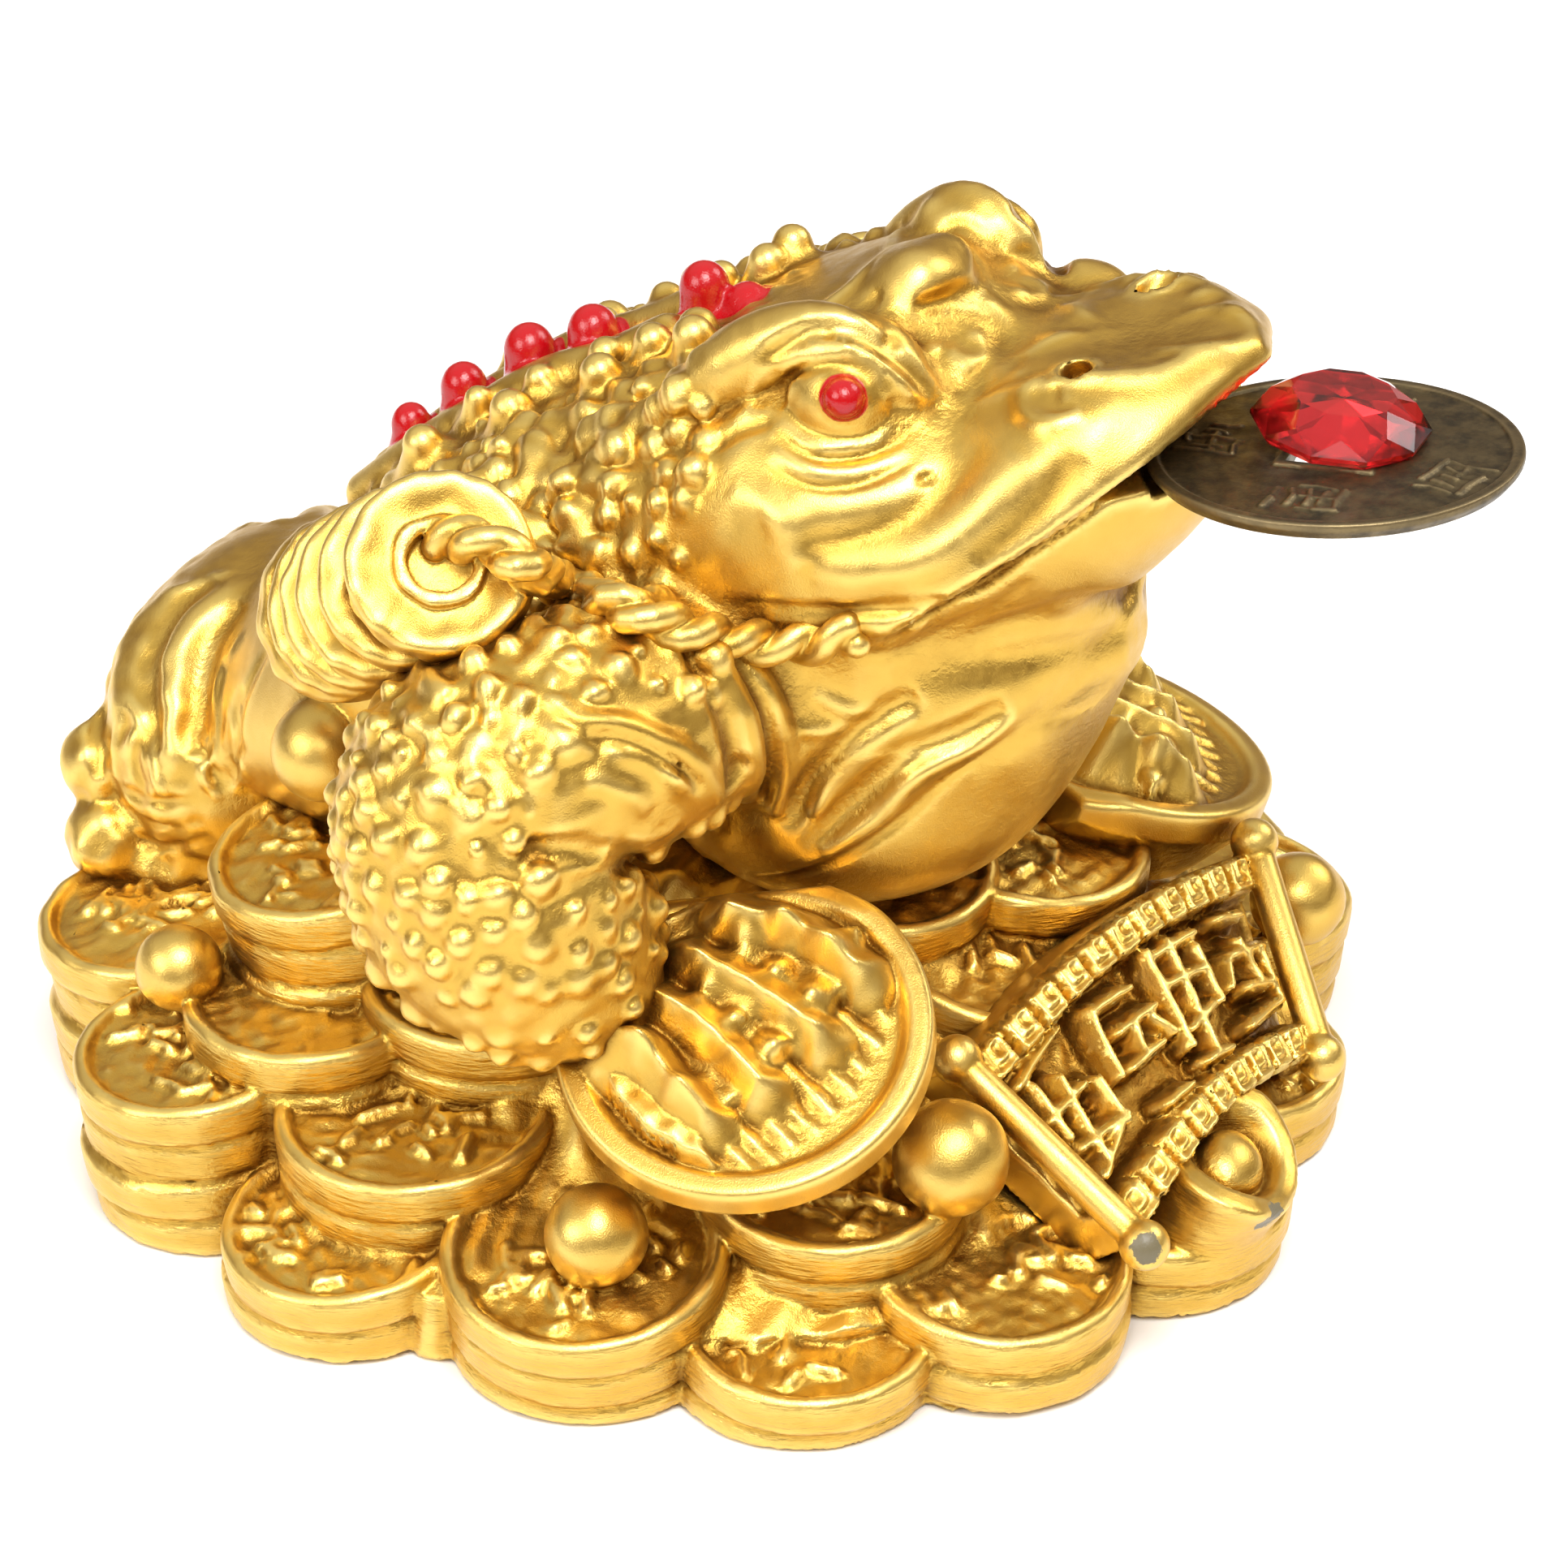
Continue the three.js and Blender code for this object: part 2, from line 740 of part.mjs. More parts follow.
// The token: a disc with a raised rim and a square hole, turned into the mouth.
const tokenTurn = new THREE.Euler(-tokenPitch * degrees, tokenRoll * degrees, 0);
const tokenCentre = onToad(0, -39.8, 57.3);

function seated(geometry) {
  geometry.applyMatrix4(new THREE.Matrix4().makeRotationFromEuler(tokenTurn));
  geometry.translate(tokenCentre.x, tokenCentre.y, tokenCentre.z);
  return solid(geometry);
}

function token() {
  const half = tokenThickness / 2;
  const inner = tokenRadius - tokenRimWidth;
  const profile = [
    [0, -half + tokenRimHeight],
    [inner, -half + tokenRimHeight],
    [inner, -half],
    [tokenRadius, -half],
    [tokenRadius, half],
    [inner, half],
    [inner, half - tokenRimHeight],
    [0, half - tokenRimHeight],
  ].map(([r, h]) => new THREE.Vector2(r, h));
  const disc = new THREE.LatheGeometry(profile, tokenSides);
  disc.rotateX(90 * degrees);
  const hole = new THREE.BoxGeometry(tokenHole, tokenHole, tokenThickness * 3);
  hole.rotateZ(45 * degrees);
  return seated(disc).subtract(seated(hole));
}

// Shares of the stone's radius at its foot and at the middle of its crown, and that ring's height.
const gemFoot = 0.96;
const gemShoulder = 0.78;
const gemShoulderHeight = 0.55;

function gem() {
  const bottom = tokenThickness / 2 - tokenRimHeight + clearance;
  const girdle = bottom + gemGirdleHeight;
  const crown = girdle + gemCrownHeight;
  const ring = (radius, z, turn) =>
    Array.from({ length: gemSides }, (_, i) => {
      const angle = ((i + turn) / gemSides) * 2 * Math.PI;
      return vec(
        gemOffsetX + radius * Math.cos(angle),
        gemOffsetY + radius * Math.sin(angle),
        z,
      );
    });
  const made = [
    ring(gemRadius * gemFoot, bottom, 0),
    ring(gemRadius, girdle, 0),
    ring(gemRadius * gemShoulder, girdle + gemCrownHeight * gemShoulderHeight, 0.5),
    ring(gemTableRadius, crown, 0),
  ];
  const turn = new THREE.Matrix4().makeRotationFromEuler(tokenTurn);
  return skin(made.map((points) => points.map((p) => p.applyMatrix4(turn).add(tokenCentre))));
}

// The slot that the token sits in, and the open mouth round it: a wedge between the raised upper lip
// and the rim of the lower jaw, in the toad's side view as [y, z].
const mouthCorner = [-24.6, 54];
const upperLip = [-36, 63.4];
const lowerLip = [-32.4, 56.7];
const pastSnout = 8;
const pastCheek = 30;

function mouth() {
  const reach = tokenRadius + clearance;
  const slot = new THREE.CylinderGeometry(reach, reach, tokenThickness + 2 * clearance, slotSides);
  slot.rotateX(90 * degrees);
  const rows = [-pastCheek, pastCheek].map((x) => [
    onToad(x, mouthCorner[0], mouthCorner[1]),
    onToad(x, upperLip[0], upperLip[1]),
    onToad(x, lowerLip[0] - pastSnout, lowerLip[1]),
    onToad(x, lowerLip[0], lowerLip[1]),
  ]);
  return seated(slot).add(skin(rows));
}

// The line between the closed lips, a groove of even depth that runs back from the open mouth.
const lipGroove = 0.5;
const lipGrooveDepth = 1;
const lipEnd = [-17, 47.8];
const lipRunOn = 0.15;

function lipLine() {
  const half = lipGroove / 2;
  const inMouth = mouthCorner.map((place, i) => place + (place - lipEnd[i]) * lipRunOn);
  const rings = [lipEnd, inMouth].map(([y, z]) => [
    onToad(-pastCheek, y, z - half),
    onToad(-pastCheek, y, z + half),
    onToad(pastCheek, y, z + half),
    onToad(pastCheek, y, z - half),
  ]);
  const inner = headSlices
    .filter(([y]) => y > inMouth[0] - pastSnout)
    .map(([y, zTop, zFoot, zWide, wide, pinch]) => [y, zTop, zFoot, zWide, wide - lipGrooveDepth, pinch]);
  return skin(rings).subtract(slices(inner, headSection, bodySides));
}

function floorCut() {
  const below = new THREE.BoxGeometry(4 * heapRadius, 4 * heapRadius, heapHeight);
  below.translate(0, 0, -heapHeight / 2);
  return solid(below);
}

const rightWrist = onToad(-30.6, -6, 25);
const leftWrist = onToad(21.6, -11, 24.2);
const rightToesTowards = 266;
const leftToesTowards = 285;

const casting = union([
  heapOfCoins(),
  torso(),
  head(),
  hindquarters(),
  bodyLimb(rightArm, false),
  bodyLimb(leftArm, true),
  dish(rightDish),
  dish(leftDish),
  foot(rightWrist, rightDish, rightToesTowards),
  foot(leftWrist, leftDish, leftToesTowards),
  beads(),
  spikes(),
  eyes(),
  coinString(false),
  coinString(true),
  pearls(),
  ingot(),
  scrollPlaque(),
])
  .subtract(mouth())
  .subtract(lipLine())
  .subtract(floorCut());

const figure = new THREE.Group();
figure.add(meshOf("toad_casting", casting, goldPaint));
figure.add(meshOf("mouth_coin", token(), darkBrass));
figure.add(meshOf("red_gem", gem(), redGlass));

export default figure;
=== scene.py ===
# A money toad on a heap of coins: a casting painted gold, with a loose brass token in its mouth and a
# red stone glued on the token. The casting is sculpted in millimetres, as a grid of distances to its
# surface, and meshed from that. Its sizes and places are those of the model's solids.
import math
import bmesh
import bpy
import numpy as np
from mathutils import Euler, Matrix, Vector


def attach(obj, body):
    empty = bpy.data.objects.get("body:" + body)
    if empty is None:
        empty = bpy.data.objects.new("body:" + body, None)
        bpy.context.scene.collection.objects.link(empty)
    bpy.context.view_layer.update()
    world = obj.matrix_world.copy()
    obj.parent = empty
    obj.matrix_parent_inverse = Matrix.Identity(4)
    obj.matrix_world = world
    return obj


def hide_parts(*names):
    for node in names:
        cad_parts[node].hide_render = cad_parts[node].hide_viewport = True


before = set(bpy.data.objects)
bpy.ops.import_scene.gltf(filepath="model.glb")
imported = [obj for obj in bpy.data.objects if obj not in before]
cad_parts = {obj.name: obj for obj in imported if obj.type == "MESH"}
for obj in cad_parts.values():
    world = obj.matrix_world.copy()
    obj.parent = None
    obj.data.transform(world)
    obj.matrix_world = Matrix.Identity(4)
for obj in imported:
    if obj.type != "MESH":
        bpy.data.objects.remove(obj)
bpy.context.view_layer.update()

MM = 0.001
GRID_STEP = 0.32
DISH_STEP = 0.22
STRING_STEP = 0.24
SCROLL_STEP = 0.2
FACES_AT_MOST = 190000
DISH_FACES = 130000
STRING_FACES = 70000
SCROLL_FACES = 90000
TOKEN_FACES = 60000

# Camera
PHOTO_PIXELS = 1932
FOCAL_PIXELS = 6069
SENSOR = 36
CAMERA_AZIMUTH = math.radians(-65)
CAMERA_ELEVATION = math.radians(31.5)
CAMERA_DISTANCE = 340
CAMERA_TARGET = np.array([-3, -2.7, 25])

# Heap of coins
HEAP_RADIUS = 47.5
HEAP_CENTRE_Y = 3.8
HEAP_HEIGHT = 24
HEAP_WALL = 5
COIN_RADIUS = 9
COIN_THICKNESS = 3.1
COIN_RIM = 1.1
COIN_FIELD_DEPTH = 0.7
COINS_IN_MOUND = 3
PEARL_RADIUS = 3.6

# Dishes under the forefeet
DISH_RADIUS = 12.3
DISH_THICKNESS = 2.4
DISH_RIM = 1.4
DISH_RIM_HEIGHT = 0.8
DISH_FOOT_RADIUS = 8.9
DISH_FOOT_DEPTH = 6.8
DISH_CUT = 0.78

# Token and stone
TOKEN_RADIUS = 12
TOKEN_THICKNESS = 1.2
TOKEN_RIM = 0.8
TOKEN_RIM_HEIGHT = 0.2
TOKEN_HOLE = 5.1
TOKEN_CENTRE = np.array([0, -39.8, 57.3])
TOKEN_TURN = Euler((math.radians(-4.4), math.radians(2.8), 0)).to_matrix()
GEM_RADIUS = 5.8
GEM_OFFSET = (1.8, 0.3)
CLEARANCE = 0.3


# Camera and its rays

def camera_axes():
    """The camera's right, up and back directions."""
    back = np.array([
        math.sin(CAMERA_AZIMUTH) * math.cos(CAMERA_ELEVATION),
        -math.cos(CAMERA_AZIMUTH) * math.cos(CAMERA_ELEVATION),
        math.sin(CAMERA_ELEVATION),
    ])
    right = np.array([math.cos(CAMERA_AZIMUTH), math.sin(CAMERA_AZIMUTH), 0])
    return right, np.cross(back, right), back


def add_camera():
    right, up, back = camera_axes()
    data = bpy.data.cameras.new("camera")
    data.sensor_width = SENSOR
    data.lens = SENSOR * FOCAL_PIXELS / PHOTO_PIXELS
    data.clip_start = 0.02
    camera = bpy.data.objects.new("camera", data)
    turn = Matrix((right, up, back)).transposed().to_4x4()
    place = (CAMERA_TARGET + CAMERA_DISTANCE * back) * MM
    camera.matrix_world = Matrix.Translation(Vector(place)) @ turn
    bpy.context.collection.objects.link(camera)
    bpy.context.scene.camera = camera


def rays(pixels):
    """The camera's place, and the direction through each pixel of the photograph."""
    right, up, back = camera_axes()
    pixels = np.atleast_2d(np.array(pixels, float)) - PHOTO_PIXELS / 2
    ways = pixels[:, :1] * right - pixels[:, 1:] * up - FOCAL_PIXELS * back
    ways /= np.linalg.norm(ways, axis=1, keepdims=True)
    return CAMERA_TARGET + CAMERA_DISTANCE * back, ways


# The grid of distances

FAR = 6.0
MARGIN = 1.5
TINY = 1e-9
# How far a stroke and a bump reach, in widths, and how deep below the skin these and roughness go
STROKE_REACH, BUMP_REACH = 2.4, 2.3
STROKE_DEPTH, ROUGHEN_DEPTH = 2.5, 1.2
# Steps along a line of sight, to each side of the figure's middle, and down from above
EYE_STEP, FIGURE_REACH = 0.3, 75
DROP_HEIGHTS = 68, 20, -0.1
# Cells this near the skin, as a share of a step, may carry a wart
SKIN_SHARE, TRIES_AT_MOST = 0.6, 6000


def smooth_min(a, b, blend):
    if blend <= 0:
        return np.minimum(a, b)
    near = np.maximum(blend - np.abs(a - b), 0)
    return np.minimum(a, b) - near * near / (4 * blend)


class Form:
    """A shape between two corners, with a function that gives the distance to its surface."""

    def __init__(self, low, high, distance):
        self.low = np.array(low, float)
        self.high = np.array(high, float)
        self.distance = distance


class Clay:
    """Space as a grid of distances to one surface, negative inside it."""

    def __init__(self, low, high, step):
        self.low = np.array(low, float)
        self.step = step
        counts = np.ceil((np.array(high) - self.low) / step).astype(int) + 1
        self.axes = [
            (start + step * np.arange(count)).astype(np.float32)
            for start, count in zip(self.low, counts)
        ]
        self.field = np.full(counts, FAR, np.float32)

    def window(self, low, high):
        """The grid between two corners, as slices and as x, y and z that broadcast."""
        first = np.maximum(np.floor((low - self.low) / self.step).astype(int), 0)
        last = np.maximum(np.ceil((high - self.low) / self.step).astype(int) + 1, 0)
        cut = tuple(slice(a, b) for a, b in zip(first, last))
        x, y, z = (axis[part] for axis, part in zip(self.axes, cut))
        return cut, (x[:, None, None], y[None, :, None], z[None, None, :])

    def meld(self, cut, distance, blend, carve):
        """Adds what a distance gives for a part of the grid, or carves it away."""
        sign = -1 if carve else 1
        self.field[cut] = sign * smooth_min(sign * self.field[cut], distance, blend)

    def add(self, form, blend=0.0, carve=False):
        pad = blend + MARGIN
        cut, place = self.window(form.low - pad, form.high + pad)
        self.meld(cut, form.distance(*place), blend, carve)

    def carve(self, form, blend=0.0):
        self.add(form, blend, carve=True)

    def tube(self, points, radii, blend=0.0, carve=False):
        """Adds a round rod along a line of points, or carves it away."""
        points = np.asarray(points, float)
        radii = np.broadcast_to(np.asarray(radii, float), len(points))
        pad = radii.max() + blend + MARGIN
        cut, _ = self.window(points.min(0) - pad, points.max(0) + pad)
        near = np.full(self.field[cut].shape, FAR, np.float32)
        for a, b, from_r, to_r in zip(points[:-1], points[1:], radii[:-1], radii[1:]):
            part, place = self.window(np.minimum(a, b) - pad, np.maximum(a, b) + pad)
            inner = tuple(slice(p.start - c.start, p.stop - c.start) for p, c in zip(part, cut))
            near[inner] = np.minimum(near[inner], rod(place, a, b, from_r, to_r))
        self.meld(cut, near, blend, carve)

    def stroke(self, points, width, height, ends=(0.0, 0.0)):
        """Raises the skin along a line by a height, or carves it where that is negative. The ends
        give the share of the height that is left at the first and the last point."""
        points = np.asarray(points, float)
        reach = STROKE_REACH * width
        cut, _ = self.window(points.min(0) - reach, points.max(0) + reach)
        field = self.field[cut]
        near = np.nonzero(np.abs(field) < min(reach, STROKE_DEPTH))
        if not len(near[0]):
            return
        place = np.stack([self.axes[i][cut[i]][near[i]] for i in range(3)], 1)
        best = np.full(len(place), 1e9, np.float32)
        along = np.zeros(len(place), np.float32)
        starts, whole = lengths(points)
        starts = starts / max(whole, TINY)
        for i, (a, b) in enumerate(zip(points[:-1], points[1:])):
            way = b - a
            t = np.clip((place - a) @ way / max(way @ way, TINY), 0, 1)
            gap = ((place - a - t[:, None] * way) ** 2).sum(1)
            closer = gap < best
            best[closer] = gap[closer]
            along[closer] = (starts[i] + t * (starts[i + 1] - starts[i]))[closer]
        share = mix(*ends, along)
        swell = share + (1 - share) * np.sqrt(np.clip(np.sin(np.pi * along), 0, 1))
        field[near] -= height * swell * np.exp(-best / width ** 2)

    def bump(self, centre, radius, height):
        """Raises a round bump on the skin, or a pit where the height is negative."""
        centre = np.asarray(centre, float)
        reach = BUMP_REACH * radius
        cut, (x, y, z) = self.window(centre - reach, centre + reach)
        gap = (x - centre[0]) ** 2 + (y - centre[1]) ** 2 + (z - centre[2]) ** 2
        self.field[cut] -= height * np.exp(-gap / radius ** 2).astype(np.float32)

    def warts(self, places, radii, sink):
        """Adds a round wart at each place on the skin, sunk by a share of its radius."""
        ways = self.slope(places, 0.8)
        for place, way, radius in zip(places, ways, radii):
            self.add(ball(place - way * radius * sink, radius), 0.45 * radius)

    def roughen(self, amount, scale, seed, share=lambda x, y, z: 1):
        """Uneven skin: raises and sinks it by up to about an amount, over lengths of a scale."""
        near = np.nonzero(np.abs(self.field) < ROUGHEN_DEPTH)
        shares = share(*(self.axes[i][near[i]] for i in range(3)))
        if np.ndim(shares):
            near = tuple(part[shares > 0.01] for part in near)
            shares = shares[shares > 0.01]
        place = [self.axes[i][near[i]] for i in range(3)]
        self.field[near] += (amount * shares * ripple(place, scale, seed)).astype(np.float32)

    def sample(self, places):
        """The distances at places anywhere in space."""
        at = (np.asarray(places) - self.low) / self.step
        base = np.floor(at).astype(int)
        top = np.array(self.field.shape) - 2
        inside = ((base >= 0) & (base <= top)).all(-1)
        base = np.clip(base, 0, top)
        f = np.clip(at - base, 0, 1)
        total = np.zeros(at.shape[:-1])
        for step in np.ndindex(2, 2, 2):
            x, y, z = (f[..., i] if up else 1 - f[..., i] for i, up in enumerate(step))
            corner = tuple(base[..., i] + up for i, up in enumerate(step))
            total += x * y * z * self.field[corner]
        return np.where(inside, total, FAR)

    def slope(self, places, reach):
        """The outward direction at each place."""
        ways = np.zeros_like(places)
        for i in range(3):
            push = np.zeros(3)
            push[i] = reach
            ways[:, i] = self.sample(places + push) - self.sample(places - push)
        return ways / np.maximum(np.linalg.norm(ways, axis=1, keepdims=True), TINY)

    def seen(self, pixels):
        """The places on the skin that the photograph shows at these pixels."""
        eye, ways = rays(pixels)
        reach = np.arange(CAMERA_DISTANCE - FIGURE_REACH, CAMERA_DISTANCE + FIGURE_REACH, EYE_STEP)
        places = eye + ways[:, None, :] * reach[None, :, None]
        hit = self.sample(places) < 0
        first = np.argmax(hit, axis=1)
        first[~hit.any(axis=1)] = len(reach) // 2
        return eye + ways * (reach[first] - EYE_STEP / 2)[:, None]

    def under(self, places):
        """The places on the skin straight below each x and y."""
        heights = np.arange(*DROP_HEIGHTS)
        made = []
        for x, y in places:
            column = np.stack([np.full(len(heights), x), np.full(len(heights), y), heights], 1)
            made.append(column[np.argmax(self.sample(column) < 0)])
        return np.array(made)

    def scatter(self, low, high, test, spacing, seed):
        """Places on the skin between two corners that pass a test, spaced apart."""
        cut, _ = self.window(np.array(low, float), np.array(high, float))
        near = np.nonzero(np.abs(self.field[cut]) < self.step * SKIN_SHARE)
        place = np.stack([self.axes[i][cut[i]][near[i]] for i in range(3)], 1)
        place = place[test(*place.T)]
        dice = np.random.default_rng(seed)
        place = place[dice.permutation(len(place))[:TRIES_AT_MOST]]
        kept = np.zeros((0, 3))
        for p in place:
            if not len(kept) or ((kept - p) ** 2).sum(1).min() > spacing ** 2:
                kept = np.vstack([kept, p])
        return kept


def rod(place, a, b, from_r, to_r):
    x, y, z = place
    way = b - a
    size = max(way @ way, TINY)
    px, py, pz = x - a[0], y - a[1], z - a[2]
    t = np.clip((px * way[0] + py * way[1] + pz * way[2]) / size, 0, 1)
    gap = np.sqrt((px - way[0] * t) ** 2 + (py - way[1] * t) ** 2 + (pz - way[2] * t) ** 2)
    return gap - (from_r + (to_r - from_r) * t)


def lengths(points):
    """How far along a line each of its points is, and the whole line's length."""
    legs = np.linalg.norm(np.diff(points, axis=0), axis=1)
    return np.concatenate([[0], np.cumsum(legs)]), legs.sum()


def mix(a, b, share):
    return a * (1 - share) + b * share


def crossed(a, b):
    """The cross product of two directions whose parts may be arrays."""
    return [a[i - 2] * b[i - 1] - a[i - 1] * b[i - 2] for i in range(3)]


def curve(points, count=24):
    """A smooth line through points, which may have more columns than three."""
    points = np.asarray(points, float)
    if len(points) == 2:
        return points
    padded = np.vstack([2 * points[0] - points[1], points, 2 * points[-1] - points[-2]])
    made = []
    for t in np.linspace(0, len(points) - 1 - 1e-6, count):
        i = int(t)
        f = t - i
        p0, p1, p2, p3 = padded[i:i + 4]
        made.append(0.5 * (
            2 * p1 + (p2 - p0) * f
            + (2 * p0 - 5 * p1 + 4 * p2 - p3) * f * f
            + (3 * p1 - p0 - 3 * p2 + p3) * f ** 3
        ))
    return np.array(made)


def on_plane(pixels, centre, normal, lift):
    """The places that the photograph shows at these pixels, on a plane at a lift over a centre."""
    eye, ways = rays(pixels)
    reach = ((centre - eye) @ normal + lift) / (ways @ normal)
    return eye + ways * reach[:, None]


def mirrored(points):
    return np.asarray(points) * np.array([-1, 1, 1])


def unit(vector):
    vector = np.array(vector, float)
    return vector / np.linalg.norm(vector)


def leaning(tilt, towards):
    """A normal that leans by a tilt towards an angle about Z, both in degrees."""
    tilt, towards = math.radians(tilt), math.radians(towards)
    sin = math.sin(tilt)
    return np.array([sin * math.cos(towards), sin * math.sin(towards), math.cos(tilt)])


def on_heap(angle, reach, z):
    r = reach * HEAP_RADIUS
    angle = math.radians(angle)
    return np.array([r * math.cos(angle), HEAP_CENTRE_Y + r * math.sin(angle), z])


def beside_heap(x, y, z):
    return np.array([x * HEAP_RADIUS, HEAP_CENTRE_Y + y * HEAP_RADIUS, z])


def across(normal):
    """Two directions at right angles to a normal and to each other."""
    side = unit(np.cross(normal, [0, 1, 0.1]))
    return side, np.cross(normal, side)


def in_frame(place, centre, axes):
    """Coordinates along three axes from a centre."""
    px, py, pz = (c - centre[i] for i, c in enumerate(place))
    return [px * w[0] + py * w[1] + pz * w[2] for w in axes]


def around(centre, reach, distance):
    """A form with its corners at a reach to each side of its centre."""
    return Form(centre - reach, centre + reach, distance)


def ripple(place, scale, seed, waves=7):
    """Smooth noise from -1 to 1 with features of about the given size."""
    dice = np.random.default_rng(seed)
    total = 0
    for _ in range(waves):
        way = unit(dice.normal(size=3)) * dice.uniform(0.7, 1.4) * math.pi / scale
        total = total + np.sin(sum(c * w for c, w in zip(place, way)) + dice.uniform(0, 6.28))
    return total / math.sqrt(waves)


def smooth_step(value, low, high):
    t = np.clip((value - low) / (high - low), 0, 1)
    return t * t * (3 - 2 * t)


# Simple forms

def ball(centre, radii):
    centre = np.array(centre, float)
    radii = np.broadcast_to(np.array(radii, float), 3)

    def distance(x, y, z):
        p = [(c - m) / r for c, m, r in zip((x, y, z), centre, radii)]
        q = [a / r for a, r in zip(p, radii)]
        share, slope = (np.sqrt(a ** 2 + b ** 2 + c ** 2) for a, b, c in (p, q))
        return share * (share - 1) / np.maximum(slope, 1e-6)

    return around(centre, radii, distance)


def disc_form(centre, normal, radius, above, below, profile):
    """A form round an axis: profile gives the distance from places across and along the axis."""
    axes = (*across(normal), normal)

    def distance(x, y, z):
        return profile(*in_frame((x, y, z), centre, axes))

    return around(centre, radius + max(above, below), distance)


class Relief:
    """A square map of heights, on which strokes are drawn and which forms look up."""

    def __init__(self, wide, high, step=0.12):
        self.half = (wide / 2, high / 2)
        self.step = step
        self.u = np.arange(-wide / 2, wide / 2 + step, step)[:, None]
        self.v = np.arange(-high / 2, high / 2 + step, step)[None, :]
        self.map = np.zeros((self.u.shape[0], self.v.shape[1]), np.float32)

    def leg(self, a, b):
        """How far along a straight leg each place of the map is, and its squared gap from it."""
        way = b - a
        u, v = self.u - a[0], self.v - a[1]
        t = np.clip((u * way[0] + v * way[1]) / max(way @ way, TINY), 0, 1)
        return t, (u - t * way[0]) ** 2 + (v - t * way[1]) ** 2

    def stroke(self, a, b, width, height):
        _, gap = self.leg(np.array(a, float), np.array(b, float))
        self.map = np.maximum(self.map, height * np.exp(-(gap / width ** 2) ** 2))

    def ridge(self, points, widths, heights):
        """A ridge with straight slopes along a line, from one width and height to another."""
        points = np.asarray(points, float)
        starts, whole = lengths(points)
        starts = starts / whole
        best = np.full(self.map.shape, 1e9, np.float32)
        along = np.zeros(self.map.shape, np.float32)
        for i, (a, b) in enumerate(zip(points[:-1], points[1:])):
            t, gap = self.leg(a, b)
            closer = gap < best
            best = np.where(closer, gap, best)
            along = np.where(closer, starts[i] + t * (starts[i + 1] - starts[i]), along)
        width, height = (low + (high - low) * along for low, high in (widths, heights))
        share = 1 - np.sqrt(best) / width
        self.map = np.where(share > 0, np.maximum(self.map, height * share), self.map)

    def fill(self, polygon, height):
        """Raises the map to a height inside a polygon."""
        inside = np.zeros(self.map.shape, bool)
        polygon = np.asarray(polygon, float)
        for a, b in zip(polygon, np.roll(polygon, -1, axis=0)):
            above = (a[1] > self.v) != (b[1] > self.v)
            cross = a[0] + (self.v - a[1]) * (b[0] - a[0]) / ((b[1] - a[1]) or TINY)
            inside ^= above & (self.u < cross)
        self.map = np.where(inside, np.maximum(self.map, height), self.map)

    def bump(self, centre, radius, height):
        gap = (self.u - centre[0]) ** 2 + (self.v - centre[1]) ** 2
        self.map = self.map + height * np.exp(-gap / radius ** 2)

    def soften(self, times):
        for axis in (0, 1) * times:
            before, after = np.roll(self.map, 1, axis), np.roll(self.map, -1, axis)
            self.map = 0.25 * before + 0.5 * self.map + 0.25 * after

    def rough(self, amount, scale, seed):
        """Smooth noise up to an amount, over lengths of a scale."""
        return amount * ripple((self.u, self.v, 0), scale, seed)

    def at(self, u, v):
        i = np.clip(((u + self.half[0]) / self.step), 0, self.map.shape[0] - 1.001)
        j = np.clip(((v + self.half[1]) / self.step), 0, self.map.shape[1] - 1.001)
        i0, j0 = i.astype(int), j.astype(int)
        fi, fj = i - i0, j - j0
        low, high = (mix(self.map[i0, k], self.map[i0 + 1, k], fi) for k in (j0, j0 + 1))
        return mix(low, high, fj)


# Coins of the heap: angle, reach, height of the top, tilt outwards, radius share. The first and the
# third group are there on both sides.
RIM_COINS = [
    (97, 0.8, 10.5, 7, 1),
    (119, 0.83, 13.5, 5, 1),
    (142, 0.845, 12.3, 5, 0.92),
    (166, 0.82, 6.6, 8, 0.96),
    (192, 0.79, 9, 11, 1.06),
    (214, 0.83, 5.4, 7, 1),
]
FRONT_RIM_COINS = [
    (233, 0.84, 7.4, 8, 1),
    (256, 0.82, 6, 6, 1),
    (280, 0.77, 6.5, 6, 1),
    (306, 0.8, 9.2, 8, 1),
]
INNER_COINS = [
    (166, 0.67, 12.1, 5, 1.08),
    (136, 0.6, 23.2, 10, 0.95),
]
RIGHT_COINS = [
    (145, 0.67, 15.5, 3, 1),
    (163, 0.46, 17.4, 3, 1.08),
    (219, 0.68, 11.8, 6, 1),
    (256, 0.3, 21.6, 9, 0.95),
    (262, 0.5, 17, 10, 1),
    (286, 0.46, 20, 9, 1),
]
COIN_EDGE = 0.45
COIN_GROOVE = 0.22
COIN_GROOVE_DEPTH = 0.5
COIN_MARKS = 7
COIN_CLUSTERS = 6
COINS_AT_MOST = 12
COIN_SHIFT = 0.18


